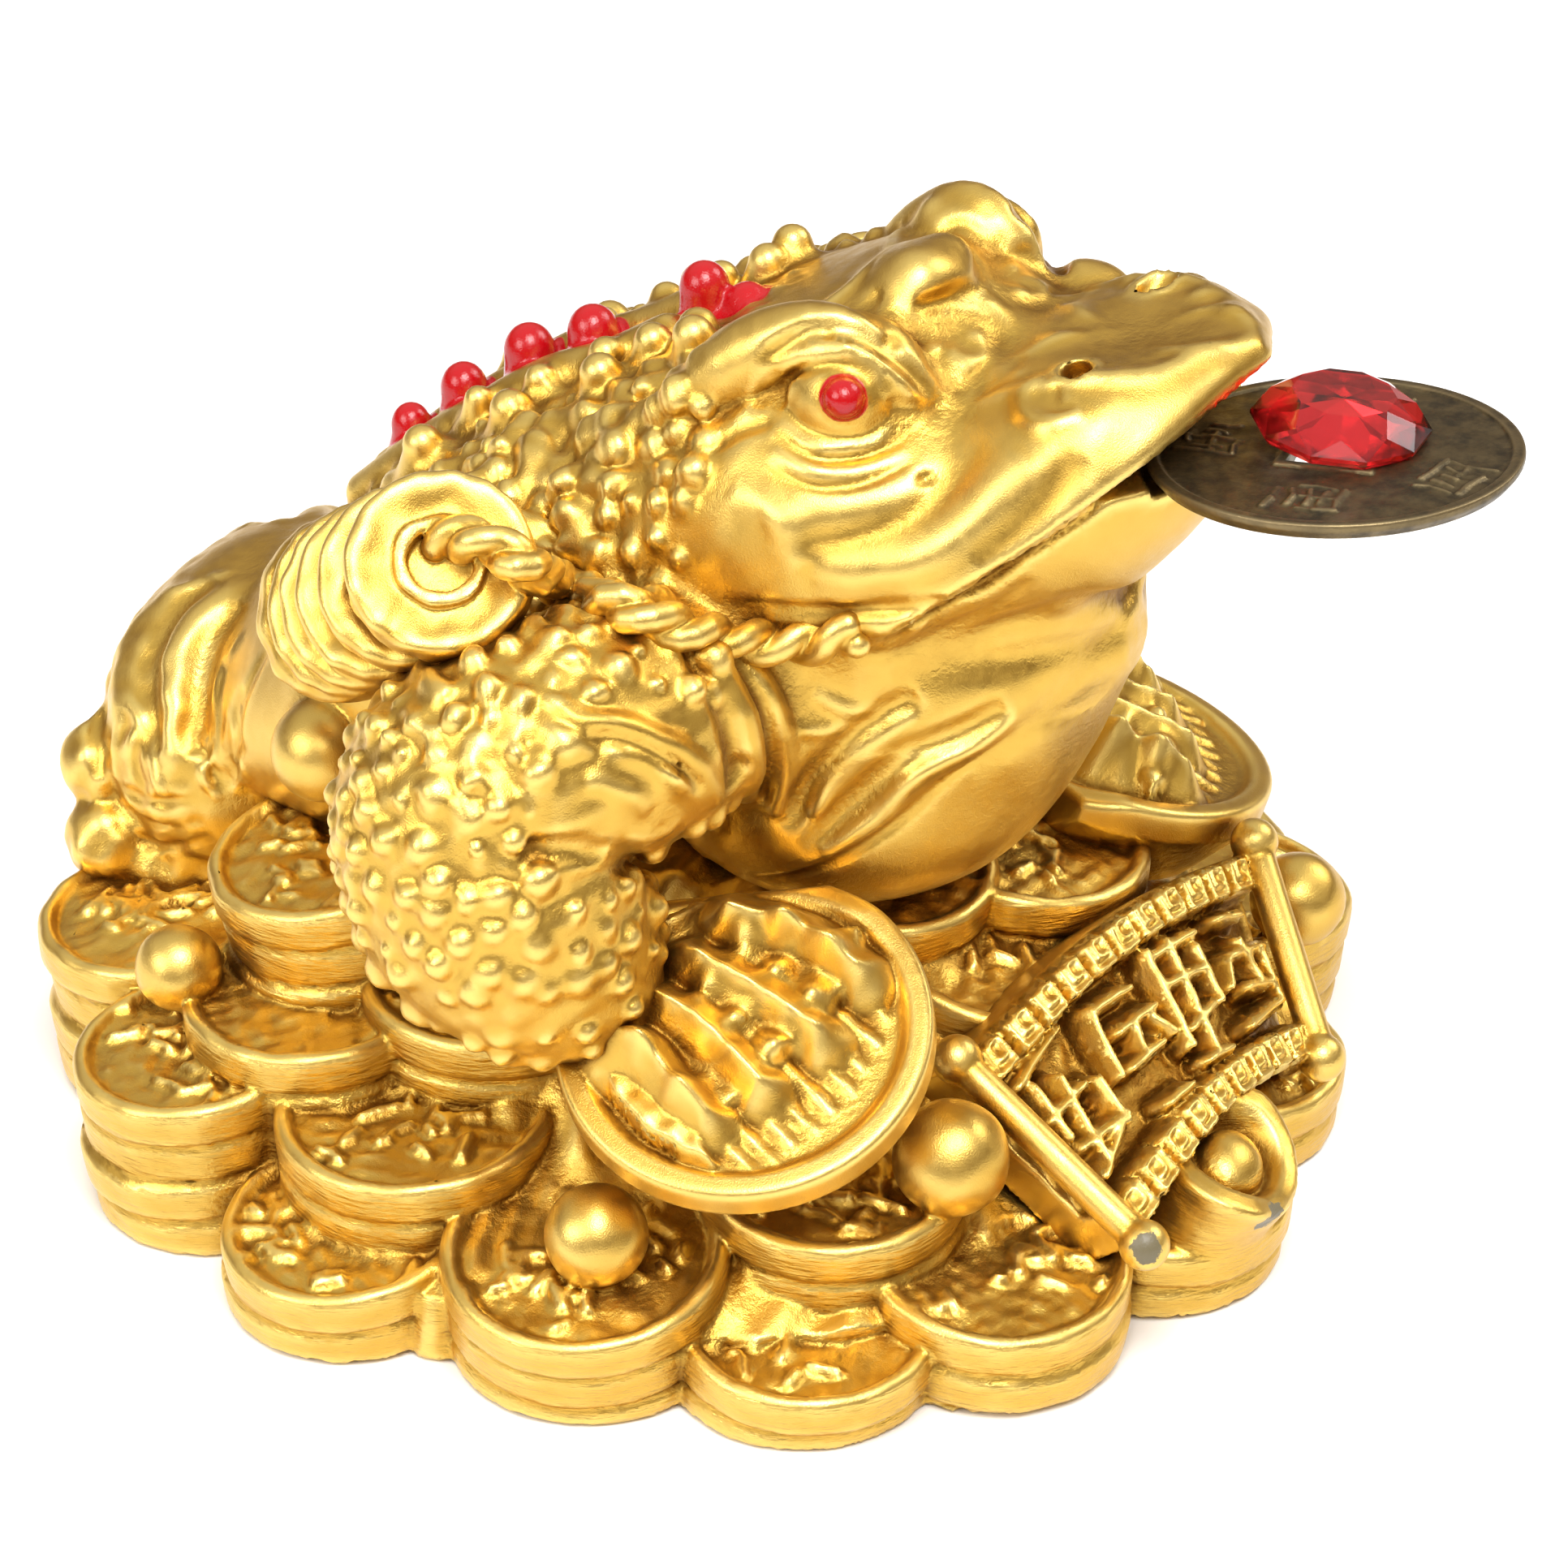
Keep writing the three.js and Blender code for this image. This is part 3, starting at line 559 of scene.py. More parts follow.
def coin_relief(radius, seed):
    """The worn marks within a coin's rim: clusters of short strokes on a fairly calm ground."""
    dice = np.random.default_rng(seed)
    made = Relief(2 * radius, 2 * radius)
    for _ in range(COIN_CLUSTERS):
        way, reach = dice.uniform(0, 2 * math.pi), radius * dice.uniform(0.15, 0.7)
        middle = reach * np.array([math.cos(way), math.sin(way)])
        for _ in range(COIN_MARKS):
            start = middle + dice.normal(0, 1.5, 2)
            turn = dice.uniform(0, 2 * math.pi)
            end = start + dice.uniform(0.6, 2.0) * np.array([math.cos(turn), math.sin(turn)])
            made.stroke(start, end, dice.uniform(0.3, 0.45), dice.uniform(0.4, 0.9))
    made.map = (made.map + (made.rough(0.1, 0.8, seed) + made.rough(0.12, 3, seed + 1))).astype(np.float32)
    return made


def coin(centre, normal, radius, depth, seed):
    """A stack of coins: a rim round rough relief on top, and a groove between each two."""
    relief = coin_relief(radius, seed)
    dice = np.random.default_rng(seed)
    shifts = dice.normal(0, COIN_SHIFT, (COINS_AT_MOST, 2)).astype(np.float32)
    shifts[0] = 0

    def profile(u, v, h):
        layer = np.clip(np.floor(-h / COIN_THICKNESS), 0, COINS_AT_MOST - 1).astype(int)
        radial = np.sqrt((u - shifts[layer, 0]) ** 2 + (v - shifts[layer, 1]) ** 2)
        joint = np.maximum(np.round(-h / COIN_THICKNESS), 1) * COIN_THICKNESS
        groove = COIN_GROOVE_DEPTH * np.exp(-((h + joint) / COIN_GROOVE) ** 2)
        side = radial - radius + groove
        sunk = COIN_FIELD_DEPTH - np.clip(relief.at(u, v), -0.3, COIN_FIELD_DEPTH - 0.1)
        top = h + sunk * (1 - smooth_step(radial, radius - COIN_RIM - 0.35, radius - COIN_RIM + 0.1))
        return -smooth_min(smooth_min(-side, -top, COIN_EDGE * 2), h + depth, 0)

    return disc_form(centre, normal, radius, 1, depth, profile)


MOUND = [(0, 1), (0.3, 0.95), (0.5, 0.66), (0.72, 0.38), (0.88, HEAP_WALL / HEAP_HEIGHT)]


def mound(seed):
    """The mound between the coins."""
    centre = np.array([0, HEAP_CENTRE_Y, 0])
    reach = [HEAP_RADIUS * r for r, _ in MOUND]
    heights = [HEAP_HEIGHT * h for _, h in MOUND]

    def distance(x, y, z):
        radial = np.sqrt((x - centre[0]) ** 2 + (y - centre[1]) ** 2)
        top = (z - np.interp(radial, reach, heights).astype(np.float32)) * 0.8
        return np.maximum(top, radial - reach[-1]) + 0.35 * ripple((x, y, z), 2.2, seed)

    low = centre - [reach[-1], reach[-1], 0]
    return Form(low, centre + [reach[-1], reach[-1], HEAP_HEIGHT], distance)


def flipped(rows):
    return [(180 - angle, *rest) for angle, *rest in rows]


def heap(clay):
    clay.add(mound(3))
    rows = [(row, row[2] + COIN_THICKNESS) for row in RIM_COINS + FRONT_RIM_COINS + flipped(RIM_COINS)]
    sunk = COIN_THICKNESS * COINS_IN_MOUND
    rows += [(row, sunk) for row in INNER_COINS + RIGHT_COINS + flipped(INNER_COINS)]
    for seed, ((angle, reach, z, tilt, size), depth) in enumerate(rows):
        centre = on_heap(angle, reach, z)
        clay.add(coin(centre, leaning(tilt, angle), COIN_RADIUS * size, depth, seed + 20), 0.25)


# Body: rows along Y, as in the solids
TORSO = np.array([
    (44, 26, 1, 1), (42, 26, 5, 3.5), (38, 26, 12, 6.6), (32, 27.4, 18, 10.6), (25, 30.6, 21.5, 14.2),
    (16, 36, 22.5, 16), (7, 39, 22, 17.2), (-2, 41, 20.5, 17), (-11, 39.5, 18.5, 15.4),
    (-18.5, 39, 15, 12.6), (-23.6, 39.5, 10, 9), (-26.2, 41, 4, 4.5), (-27, 41, 0.6, 0.6),
])
HEAD = np.array([
    (9, 54, 40, 46, 1, 0.9), (7, 56, 36, 46, 17, 0.9), (0, 60.6, 37, 49, 19, 0.9),
    (-6, 63.6, 38, 51, 20, 0.95), (-11, 65, 39, 51.5, 19.8, 1.05), (-15, 64.6, 40, 52, 19, 1.25),
    (-18.5, 62.6, 41, 53, 17.8, 1.25), (-22, 63.4, 42.5, 54, 16.2, 0.95),
    (-25, 64.4, 44, 55.2, 14.8, 0.8), (-28, 64.8, 46, 57, 12.8, 0.8), (-31, 64.8, 49.4, 59, 9.6, 0.85),
    (-33, 64.5, 52.4, 60.6, 6.4, 0.9), (-34.2, 64.2, 56.6, 61.8, 3.4, 0.9),
    (-35, 63.6, 61.4, 62.4, 1.2, 1), (-35.3, 63, 62, 62.4, 0.2, 1),
])
UNDER_HEAD = 0.9


def slices(rows, y, soften):
    """Each column of the rows along y, smoothed over a length."""
    rows = rows[np.argsort(rows[:, 0])]
    flat = y.ravel()
    kernel = np.hanning(2 * max(int(soften / (flat[1] - flat[0])), 1) + 3)
    kernel /= kernel.sum()
    pad = len(kernel) // 2
    made = []
    for column in rows[:, 1:].T:
        values = np.interp(flat, rows[:, 0], column)
        padded = np.pad(values, pad, mode="edge")
        made.append(np.convolve(padded, kernel, "valid")[None, :, None].astype(np.float32))
    return made


def torso():
    def distance(x, y, z):
        middle, wide, high = slices(TORSO, y, 2.5)
        dz = z - middle
        radial = np.sqrt(x * x + dz * dz)
        shape = np.sqrt((x / wide) ** 2 + (dz / high) ** 2)
        body = radial * (1 - 1 / np.maximum(shape, 1e-3))
        return np.maximum(body, np.maximum(TORSO[-1, 0] - y, y - TORSO[0, 0]))

    return Form((-23, -28, 15), (23, 45, 59), distance)


def head():
    def distance(x, y, z):
        top, foot, widest, wide, pinch = slices(HEAD, y, 1.2)
        dz = z - widest
        reach = np.where(dz > 0, top - widest, widest - foot)
        power = np.where(dz > 0, pinch, UNDER_HEAD)
        shape = ((np.abs(x) / wide) ** (2 / power) + (np.abs(dz) / reach) ** (2 / power)) ** (power / 2)
        radial = np.sqrt(x * x + dz * dz)
        body = radial * (1 - 1 / np.maximum(shape, 1e-3))
        return np.maximum(body, np.maximum(HEAD[-1, 0] - y, y - HEAD[0, 0]))

    return Form((-21, -36, 35), (21, 9, 67), distance)


THROAT = ((0, -15.5, 44), (15, 10.5, 9))
BELLY = ((-1, -8, 30.5), (17, 14.5, 10.5))

# Forelegs: x, y, z, radius from the shoulder to the wrist
RIGHT_ARM = [
    (-18, -3.5, 40.5, 7), (-25, -2, 41.6, 8), (-30, 1.6, 40.6, 9), (-32, 4.6, 37.2, 9.7),
    (-33, 3, 32, 9.4), (-32.5, -0.2, 27.8, 6.9), (-31.6, -3.2, 25, 3.9),
]
LEFT_ARM = [
    (17, -4, 40, 7), (24, -3, 41, 7.6), (28, 0.6, 40, 8.8), (29, 2, 36, 9.4),
    (28, -1, 31, 8.8), (25.8, -5.6, 27, 6.2), (23, -9.4, 24, 3.7),
]
RIGHT_DISH = dict(centre=np.array([-29.2, -12.1, 23.2]), normal=leaning(27, 192))
LEFT_DISH = dict(centre=np.array([19.5, -18, 20.6]), normal=leaning(18, 310))


def limb(clay, rows, count, blend):
    """A rod along a smooth line: x, y, z and radius."""
    made = curve(rows, count)
    clay.tube(made[:, :3], made[:, 3], blend)


def dish(centre, normal):
    """A dish with a raised rim, lost on the side next to the body, on a narrower foot."""
    inward = leaning(90, 25 if centre[0] < 0 else 155)
    ways = [way @ inward / DISH_RADIUS for way in across(normal)]

    def profile(u, v, h):
        radial = np.sqrt(u * u + v * v)
        narrow = np.clip((-h - DISH_THICKNESS + DISH_RIM_HEIGHT) / (DISH_FOOT_DEPTH - 1.6), 0, 1)
        side = radial - DISH_RADIUS + narrow * (DISH_RADIUS - DISH_FOOT_RADIUS)
        inner = u * ways[0] + v * ways[1]
        side = np.maximum(side, (inner - DISH_CUT) * DISH_RADIUS)
        rim = smooth_step(radial, DISH_RADIUS - DISH_RIM - 1.0, DISH_RADIUS - DISH_RIM)
        top = h - DISH_RIM_HEIGHT * rim * smooth_step(inner, 0.8, 0.55)
        return -smooth_min(smooth_min(-side, -top, 0.65), h + DISH_FOOT_DEPTH, 0)

    return disc_form(centre, normal, DISH_RADIUS, 1, DISH_FOOT_DEPTH, profile)


# Lumps low on the hindquarters: x, y, z
HIND_LUMPS = [(12, 46.9, 19.2), (14.5, 45.4, 14.5)]
HIND_LUMP_RADIUS = 3.2


def hindquarters(clay):
    clay.add(ball((0, 37.6, 20.6), (17.2, 13, 12.2)), 1.5)
    clay.add(ball((0, 41, 12.8), (16.5, 11, 6.4)), 1.5)
    for x, y, z in HIND_LUMPS:
        for side in (-1, 1):
            clay.add(ball((side * x, y, z), HIND_LUMP_RADIUS), 1.2)


# Beads along the spine: y, z, radius share, how far it stands up
BEAD_RADIUS = 1.45
SPINE_BEADS = [
    (27.3, 45.1, 0.95, 1.2), (23, 48.9, 1.1, 1.4), (17.8, 52.8, 1.2, 1.6), (12.9, 55.2, 1.2, 1.6),
    (4.5, 60.2, 1.15, 3.0), (1.3, 59.3, 1.15, 1.8),
]
BEAD_SKIRT = 2.3
# The fold of skin on each side of them: x and y, and its radius
SPINE_FOLD = [(-1.9, 30), (-2.3, 25), (-2.5, 20), (-2.5, 15), (-2.6, 10), (-2.6, 6)]
SPINE_FOLD_RADIUS = 1.5


def beads(clay):
    """Round beads on blunt cones along the spine, between two folds."""
    fold = curve(clay.under(SPINE_FOLD), 24)
    for line in (fold, mirrored(fold)):
        clay.tube(line + [0, 0, 0.1], SPINE_FOLD_RADIUS, 0.9)
    for y, z, size, rise in SPINE_BEADS:
        radius = BEAD_RADIUS * size
        top = np.array([0, y, z])
        clay.tube([top - [0, 0.4, rise + 1], top - [0, 0, 0.4]], (BEAD_SKIRT, radius), 0.5)
        clay.add(ball(top, (radius, radius, radius * 1.06)), 0.25)


# Pearls: place, radius share
HEAP_PEARLS = [
    (*beside_heap(-0.509, -0.598, 13.8), 1.08), (*beside_heap(-0.8, -0.198, 10.9), 0.95),
    (*beside_heap(-0.604, 0.573, 15.8), 0.84), (*beside_heap(0.381, -0.783, 11.6), 0.95),
    (*beside_heap(0.716, 0.341, 14), 0.95),
]
HIP_PEARLS = [(-21.9, 22.7, 31.6, 0.98), (21.9, 22.7, 31.6, 0.98)]


def pearls(clay, rows):
    for x, y, z, size in rows:
        clay.add(ball((x, y, z), PEARL_RADIUS * size), 0.3)


# Right forefoot: the pixels of the toes' crests from the wrist out, of their knuckles, of the edge
# of the web between them, and of the claws beyond it. The left one has them mirrored.
TOE_CRESTS = [
    [(762, 1290), (800, 1306), (838, 1350), (874, 1380)],
    [(812, 1244), (870, 1278), (938, 1340)],
    [(852, 1190), (930, 1230), (1010, 1276)],
    [(900, 1138), (985, 1158), (1060, 1200)],
]
KNUCKLES = [
    (797, 1300), (848, 1356), (872, 1236), (906, 1262), (952, 1296), (918, 1178), (955, 1206), (1000, 1232),
    (975, 1146), (1030, 1172),
]
WEB_EDGE = [
    (735, 1290), (752, 1345), (790, 1392), (845, 1420), (880, 1432), (862, 1400), (884, 1376), (912, 1352),
    (944, 1346), (952, 1318), (984, 1284), (1016, 1280), (1024, 1248), (1044, 1212), (1068, 1202),
    (1062, 1136), (1000, 1150), (985, 1132), (915, 1124), (860, 1106), (780, 1150), (740, 1240),
]
WEB_HEIGHT = 1.7
TOE_HEIGHTS = (4.5, 3.2)
TOE_WIDTHS = (3.3, 2.6)
CLAWS = [
    [(846, 1412), (905, 1440)], [(872, 1392), (934, 1438)], [(898, 1372), (950, 1418)],
    [(926, 1358), (972, 1398)], [(950, 1340), (998, 1378)], [(970, 1312), (1022, 1356)],
    [(994, 1290), (1042, 1330)], [(1018, 1272), (1060, 1302)], [(1034, 1244), (1076, 1272)],
    [(1046, 1216), (1088, 1240)], [(1062, 1192), (1096, 1208)],
]
CLAW_HEIGHTS = (1.3, 0.3)
CLAW_WIDTHS = (1.1, 0.8)
RIGHT_TOES_TOWARDS = 266
LEFT_TOES_TOWARDS = 285
# The pixels are read at this height over the dish, and the foot goes as deep below its face
TOE_LIFT = 1.5


def dish_axes(dish, towards):
    """The directions ahead and aside on a dish, and its normal."""
    normal = dish["normal"]
    ahead = leaning(90, towards)
    ahead = unit(ahead - (ahead @ normal) * normal)
    return np.array([ahead, np.cross(normal, ahead), normal])


def foot(clay, left):
    """Toes with knuckles, the web between them with its jagged edge, and pleated claws beyond it."""
    from_axes = dish_axes(RIGHT_DISH, RIGHT_TOES_TOWARDS)
    axes = dish_axes(LEFT_DISH, LEFT_TOES_TOWARDS) if left else from_axes
    centre = (LEFT_DISH if left else RIGHT_DISH)["centre"]
    flip = np.array([1, -1 if left else 1])

    def flat(pixels):
        here = on_plane(pixels, RIGHT_DISH["centre"], RIGHT_DISH["normal"], TOE_LIFT)
        return ((here - RIGHT_DISH["centre"]) @ from_axes[:2].T) * flip

    relief = Relief(26, 26, 0.1)
    relief.map[:] = -1
    for pixels in CLAWS:
        relief.ridge(flat(pixels), CLAW_WIDTHS, CLAW_HEIGHTS)
    relief.fill(flat(WEB_EDGE), WEB_HEIGHT)
    relief.soften(2)
    for pixels in TOE_CRESTS:
        relief.ridge(curve(flat(pixels), 16), TOE_WIDTHS, TOE_HEIGHTS)
    for place in flat(KNUCKLES):
        relief.bump(place, 1.15, 1.2)
    relief.soften(2)
    relief.map = relief.map + relief.rough(0.09, 0.9, 12)

    def distance(x, y, z):
        a, b, h = in_frame((x, y, z), centre, axes)
        top = (h - relief.at(a, b)) * 0.75
        return np.maximum(np.maximum(top, -TOE_LIFT - h), np.sqrt(a * a + b * b) - DISH_RADIUS + 1.2)

    clay.add(around(centre, DISH_RADIUS, distance), 0.15)


# Eyes, with x as on the left side: the right one's socket and the left one's, the eyeball of both, and
# their pupils; then the forehead, the left cheek and the two brows
EYE_SOCKET = ((9.4, -10.6, 59.6), (4.4, 6.4, 5.8))
FAR_SOCKET = ((9.4, -10.2, 59.8), (4.2, 4.8, 5.6))
EYEBALL = ((11.9, -11, 60.8), 3.5)
PUPIL = ((14.75, -12.3, 62.3), 1.35)
FAR_PUPIL = ((14.3, -12.2, 60.8), 1.35)
FOREHEAD = ((-0.8, -11.4, 62.4), (4.1, 3.9, 3.9))
FAR_CHEEK = ((11.2, -18.4, 58.4), (3.2, 3.6, 3.2))
RIGHT_BROW = [
    (-13, -0.6, 57.6, 1.7), (-12.4, -2.4, 60.6, 2.3), (-11.6, -6, 63.2, 2.5), (-11.2, -9.8, 64.3, 2.3),
    (-11, -13, 62.9, 1.9), (-10.8, -15.2, 60.4, 1.2),
]
LEFT_BROW = [
    (11.6, -3.8, 59.8, 1.1), (11.2, -6.6, 62.6, 1.5), (10.6, -9.9, 64.4, 1.7), (9.8, -13.2, 63.3, 1.6),
    (9, -15.9, 59.8, 1.2),
]


def eyes(clay):
    for side in (-1, 1):
        for (x, y, z), radii in (EYE_SOCKET if side < 0 else FAR_SOCKET, EYEBALL):
            clay.add(ball((side * x, y, z), radii), 0.5)
        (x, y, z), radius = PUPIL if side < 0 else FAR_PUPIL
        clay.add(ball((side * x, y, z), radius), 0.1)
    for rows in (RIGHT_BROW, LEFT_BROW):
        limb(clay, rows, 16, 0.6)
    clay.add(ball(*FOREHEAD), 1.6)
    clay.add(ball(*FAR_CHEEK), 1.0)


# String of fanned coins on each flank, with the rope that ties it
STRING_RADIUS = 6.1
STRING_THICKNESS = 1.5
STRING_HOLE = 2.1
STRING_COINS = 7
STRING_SPREAD = 1.75
STRING_FROM, STRING_TO = np.array([(-25.7, 18.7, 45.4), (-29, 9, 52.7)])
STRING_LEAN_FROM, STRING_LEAN_TO = np.array([(-0.86, 0.14, 0.5), (-0.6, -0.36, 0.72)])
ROPE_PIXELS = [
    (548, 672), (580, 662), (615, 676), (650, 700), (700, 724), (760, 746), (830, 772), (900, 788),
    (960, 793), (1010, 790), (1050, 782),
]
ROPE_RISE = [0.4, 1.5, 1.9, 1.6, 1.4, 1.2, 1.0, 0.9, 0.7, 0.5, 0.1]
LEFT_STRING_DROP = 7
LEFT_STRING_COINS = 3
ROPE_STRAND = 0.92
ROPE_TWIST = 0.7
ROPE_PITCH = 7


def string_coin(centre, normal, outermost):
    def profile(u, v, h):
        radial = np.sqrt(u * u + v * v)
        half = STRING_THICKNESS / 2
        field = 1 - smooth_step(radial, STRING_HOLE + 0.6, STRING_RADIUS - 0.6)
        top = h - half + 0.5 * field
        made = -smooth_min(smooth_min(-(radial - STRING_RADIUS), -top, 0.7), h + 2 * half, 0.4)
        if outermost:
            collar = np.abs(radial - STRING_HOLE - 0.45) - 0.45
            made = smooth_min(made, np.maximum(collar, np.abs(h) - half - 0.1), 0.3)
            made = np.maximum(made, -np.maximum(radial - STRING_HOLE, -0.4 - h))
        return made

    return disc_form(centre, normal, STRING_RADIUS, 1, 2, profile)


def rope(clay, route):
    """Two strands twisted round each other along a route."""
    made = curve(route, 60)
    along, _ = lengths(made)
    ways = np.gradient(made, axis=0)
    ways /= np.linalg.norm(ways, axis=1, keepdims=True)
    side = np.cross(ways, [0.3, 0.1, 1])
    side /= np.linalg.norm(side, axis=1, keepdims=True)
    up = np.cross(side, ways)
    for start in (0, math.pi):
        turn = (along / ROPE_PITCH * 2 * math.pi + start)[:, None]
        clay.tube(made + ROPE_TWIST * (np.cos(turn) * side + np.sin(turn) * up), ROPE_STRAND, 0.1)


def rope_route(clays):
    """The rope's way over the right flank, raised from the skin towards the photograph's eye."""
    eye, ways = rays(ROPE_PIXELS)
    found = np.array([clay.seen(ROPE_PIXELS) for clay in clays])
    near = np.argmin(np.linalg.norm(found - eye, axis=2), axis=0)
    return found[near, np.arange(len(near))] - ways * np.array(ROPE_RISE)[:, None]


def coin_string(clay, left):
    side = np.array([-1 if left else 1, 1, 1])
    drop = np.array([0, 0, LEFT_STRING_DROP if left else 0])
    count = LEFT_STRING_COINS if left else STRING_COINS
    for i in range(count):
        t = (i / (count - 1)) ** STRING_SPREAD
        centre = mix(STRING_FROM, STRING_TO, t) * side - drop
        lean = unit(mix(STRING_LEAN_FROM, STRING_LEAN_TO, t) * side)
        clay.add(string_coin(centre, lean, i == count - 1), 0.15)
    clay.roughen(0.06, 1.3, 47)


# Ingot: a boat with a domed middle
INGOT_SIZE = (12, 9.8, 8.5)
INGOT_LEAN = Euler([math.radians(a) for a in (22, -6, 14)]).to_matrix()
INGOT_DOME = (2.8, 2.4, 2.1)
INGOT_CENTRE = beside_heap(-0.235, -0.905, 9.0)


def ingot(clay):
    axes = np.array(INGOT_LEAN).T
    long, wide, high = INGOT_SIZE

    def boat(x, y, z):
        u, v, h = in_frame((x, y, z), INGOT_CENTRE, axes)
        a, b = u / (long / 2), v / (wide / 2)
        e = np.sqrt(a * a + b * b)
        horn = 1 + 1.25 * a * a / np.maximum(e * e, 1e-4)
        size = 0.86 + 0.14 * np.clip((h + high) / (high + 1), 0, 1.2) ** 3
        side = (e - size) * wide / 2
        well = h - horn * smooth_step(e, 0.5, 0.74)
        return -smooth_min(smooth_min(-side, -well * 0.85, 0.5), h + high, 0)

    def dome(x, y, z):
        u, v, h = (c / r for c, r in zip(in_frame((x, y, z), INGOT_CENTRE, axes), INGOT_DOME))
        return (np.sqrt(u ** 2 + v ** 2 + h ** 2) - 1) * INGOT_DOME[2]

    clay.add(around(INGOT_CENTRE, long / 2 + 2, boat), 0.2)
    clay.add(around(INGOT_CENTRE, 3, dome), 0.2)


# Scroll plaque: its corners, left being the toad's right
SCROLL_CORNERS = [
    beside_heap(-0.379, -0.556, 16.8), beside_heap(0.295, -0.741, 17.8),
    beside_heap(-0.467, -0.867, 9.6), beside_heap(0.093, -0.926, 8.6),
]
SCROLL_BULGE = 3
SCROLL_FACING = leaning(48, 255)
SCROLL_BACK = -6.1
SCROLL_BED = -4.6
SCROLL_WIDE, SCROLL_HIGH = 31, 16.4
SCROLL_BORDER = 3.1
SCROLL_FIELD = 2.8
SCROLL_BAND = -1.5
SCROLL_BLOCK = -0.35
SCROLL_TILE = 2.7
SCROLL_TILES_TOP = 11
SCROLL_TILES_FOOT = 9
SCROLL_ROD = 1.15
SCROLL_KNOB = 1.7
SCROLL_SIGNS = 4
SCROLL_ROUNDS = 4
SIGN_STROKE = 0.62
# The line of a spiral on a block, from -1 to 1
SPIRAL = [(-0.8, -0.8), (-0.8, 0.8), (0.8, 0.8), (0.8, -0.8), (-0.25, -0.8), (-0.25, 0.2), (0.3, 0.2)]


def key_tile(relief, spirals, centre, size, turned):
    """A block with a square spiral of strokes on it."""
    wide, high = size[0] / 2, size[1] / 2
    inside = (np.abs(relief.u - centre[0]) < wide) & (np.abs(relief.v - centre[1]) < high)
    relief.map[inside] = SCROLL_BLOCK
    flip = -wide if turned else wide
    route = [(centre[0] + flip * a, centre[1] + high * b) for a, b in SPIRAL]
    for start, end in zip(route[:-1], route[1:]):
        spirals.stroke(start, end, 0.24, 0.4)


def sign(relief, centre, size, seed):
    """A block of bold upright, level and slanting strokes that is no letter."""
    dice = np.random.default_rng(seed)
    u, v = centre
    wide, high = size
    for row in range(4):
        y = v + high * (row / 3 - 0.5) * 0.86 + dice.normal(0, 0.25)
        a = dice.uniform(-0.5, -0.2)
        b = dice.uniform(0.15, 0.5)
        relief.stroke((u + a * wide, y), (u + b * wide, y + dice.normal(0, 0.8)), SIGN_STROKE, 1)
    for column in range(3):
        x = u + wide * (column - 1) * 0.36 + dice.normal(0, 0.2)
        a = dice.uniform(-0.5, -0.05)
        b = dice.uniform(0.05, 0.5)
        relief.stroke((x, v + a * high), (x + dice.normal(0, 0.9), v + b * high), SIGN_STROKE, 1)


def scroll_relief():
    """A deep field with bold strokes between two bands of square blocks."""
    made, spirals, signs = (Relief(SCROLL_WIDE, SCROLL_HIGH, 0.1) for _ in range(3))
    band = np.abs(made.v) > SCROLL_HIGH / 2 - SCROLL_BORDER
    made.map = (np.where(band, SCROLL_BAND, -SCROLL_FIELD) + 0 * made.map).astype(np.float32)
    for count, v in ((SCROLL_TILES_TOP, -1), (SCROLL_TILES_FOOT, 1)):
        for i in range(count):
            u = ((i + 0.5) / count - 0.5) * (SCROLL_WIDE - 2)
            centre = (u, v * (SCROLL_HIGH - SCROLL_BORDER) / 2)
            key_tile(made, spirals, centre, (SCROLL_WIDE / count * 0.8, SCROLL_TILE), v > 0)
    inner = SCROLL_HIGH - 2 * SCROLL_BORDER - 0.6
    for i in range(SCROLL_SIGNS):
        u = ((i + 0.5) / SCROLL_SIGNS - 0.5) * (SCROLL_WIDE - 2.6)
        sign(signs, (u, 0), (6, inner), 31 + i)
    rough = made.rough(0.07, 0.8, 8)
    strokes = -SCROLL_FIELD + signs.map * (SCROLL_FIELD - 0.25)
    made.map = np.where(band, made.map, np.maximum(made.map, strokes)) + spirals.map + rough
    made.soften(2)
    return made


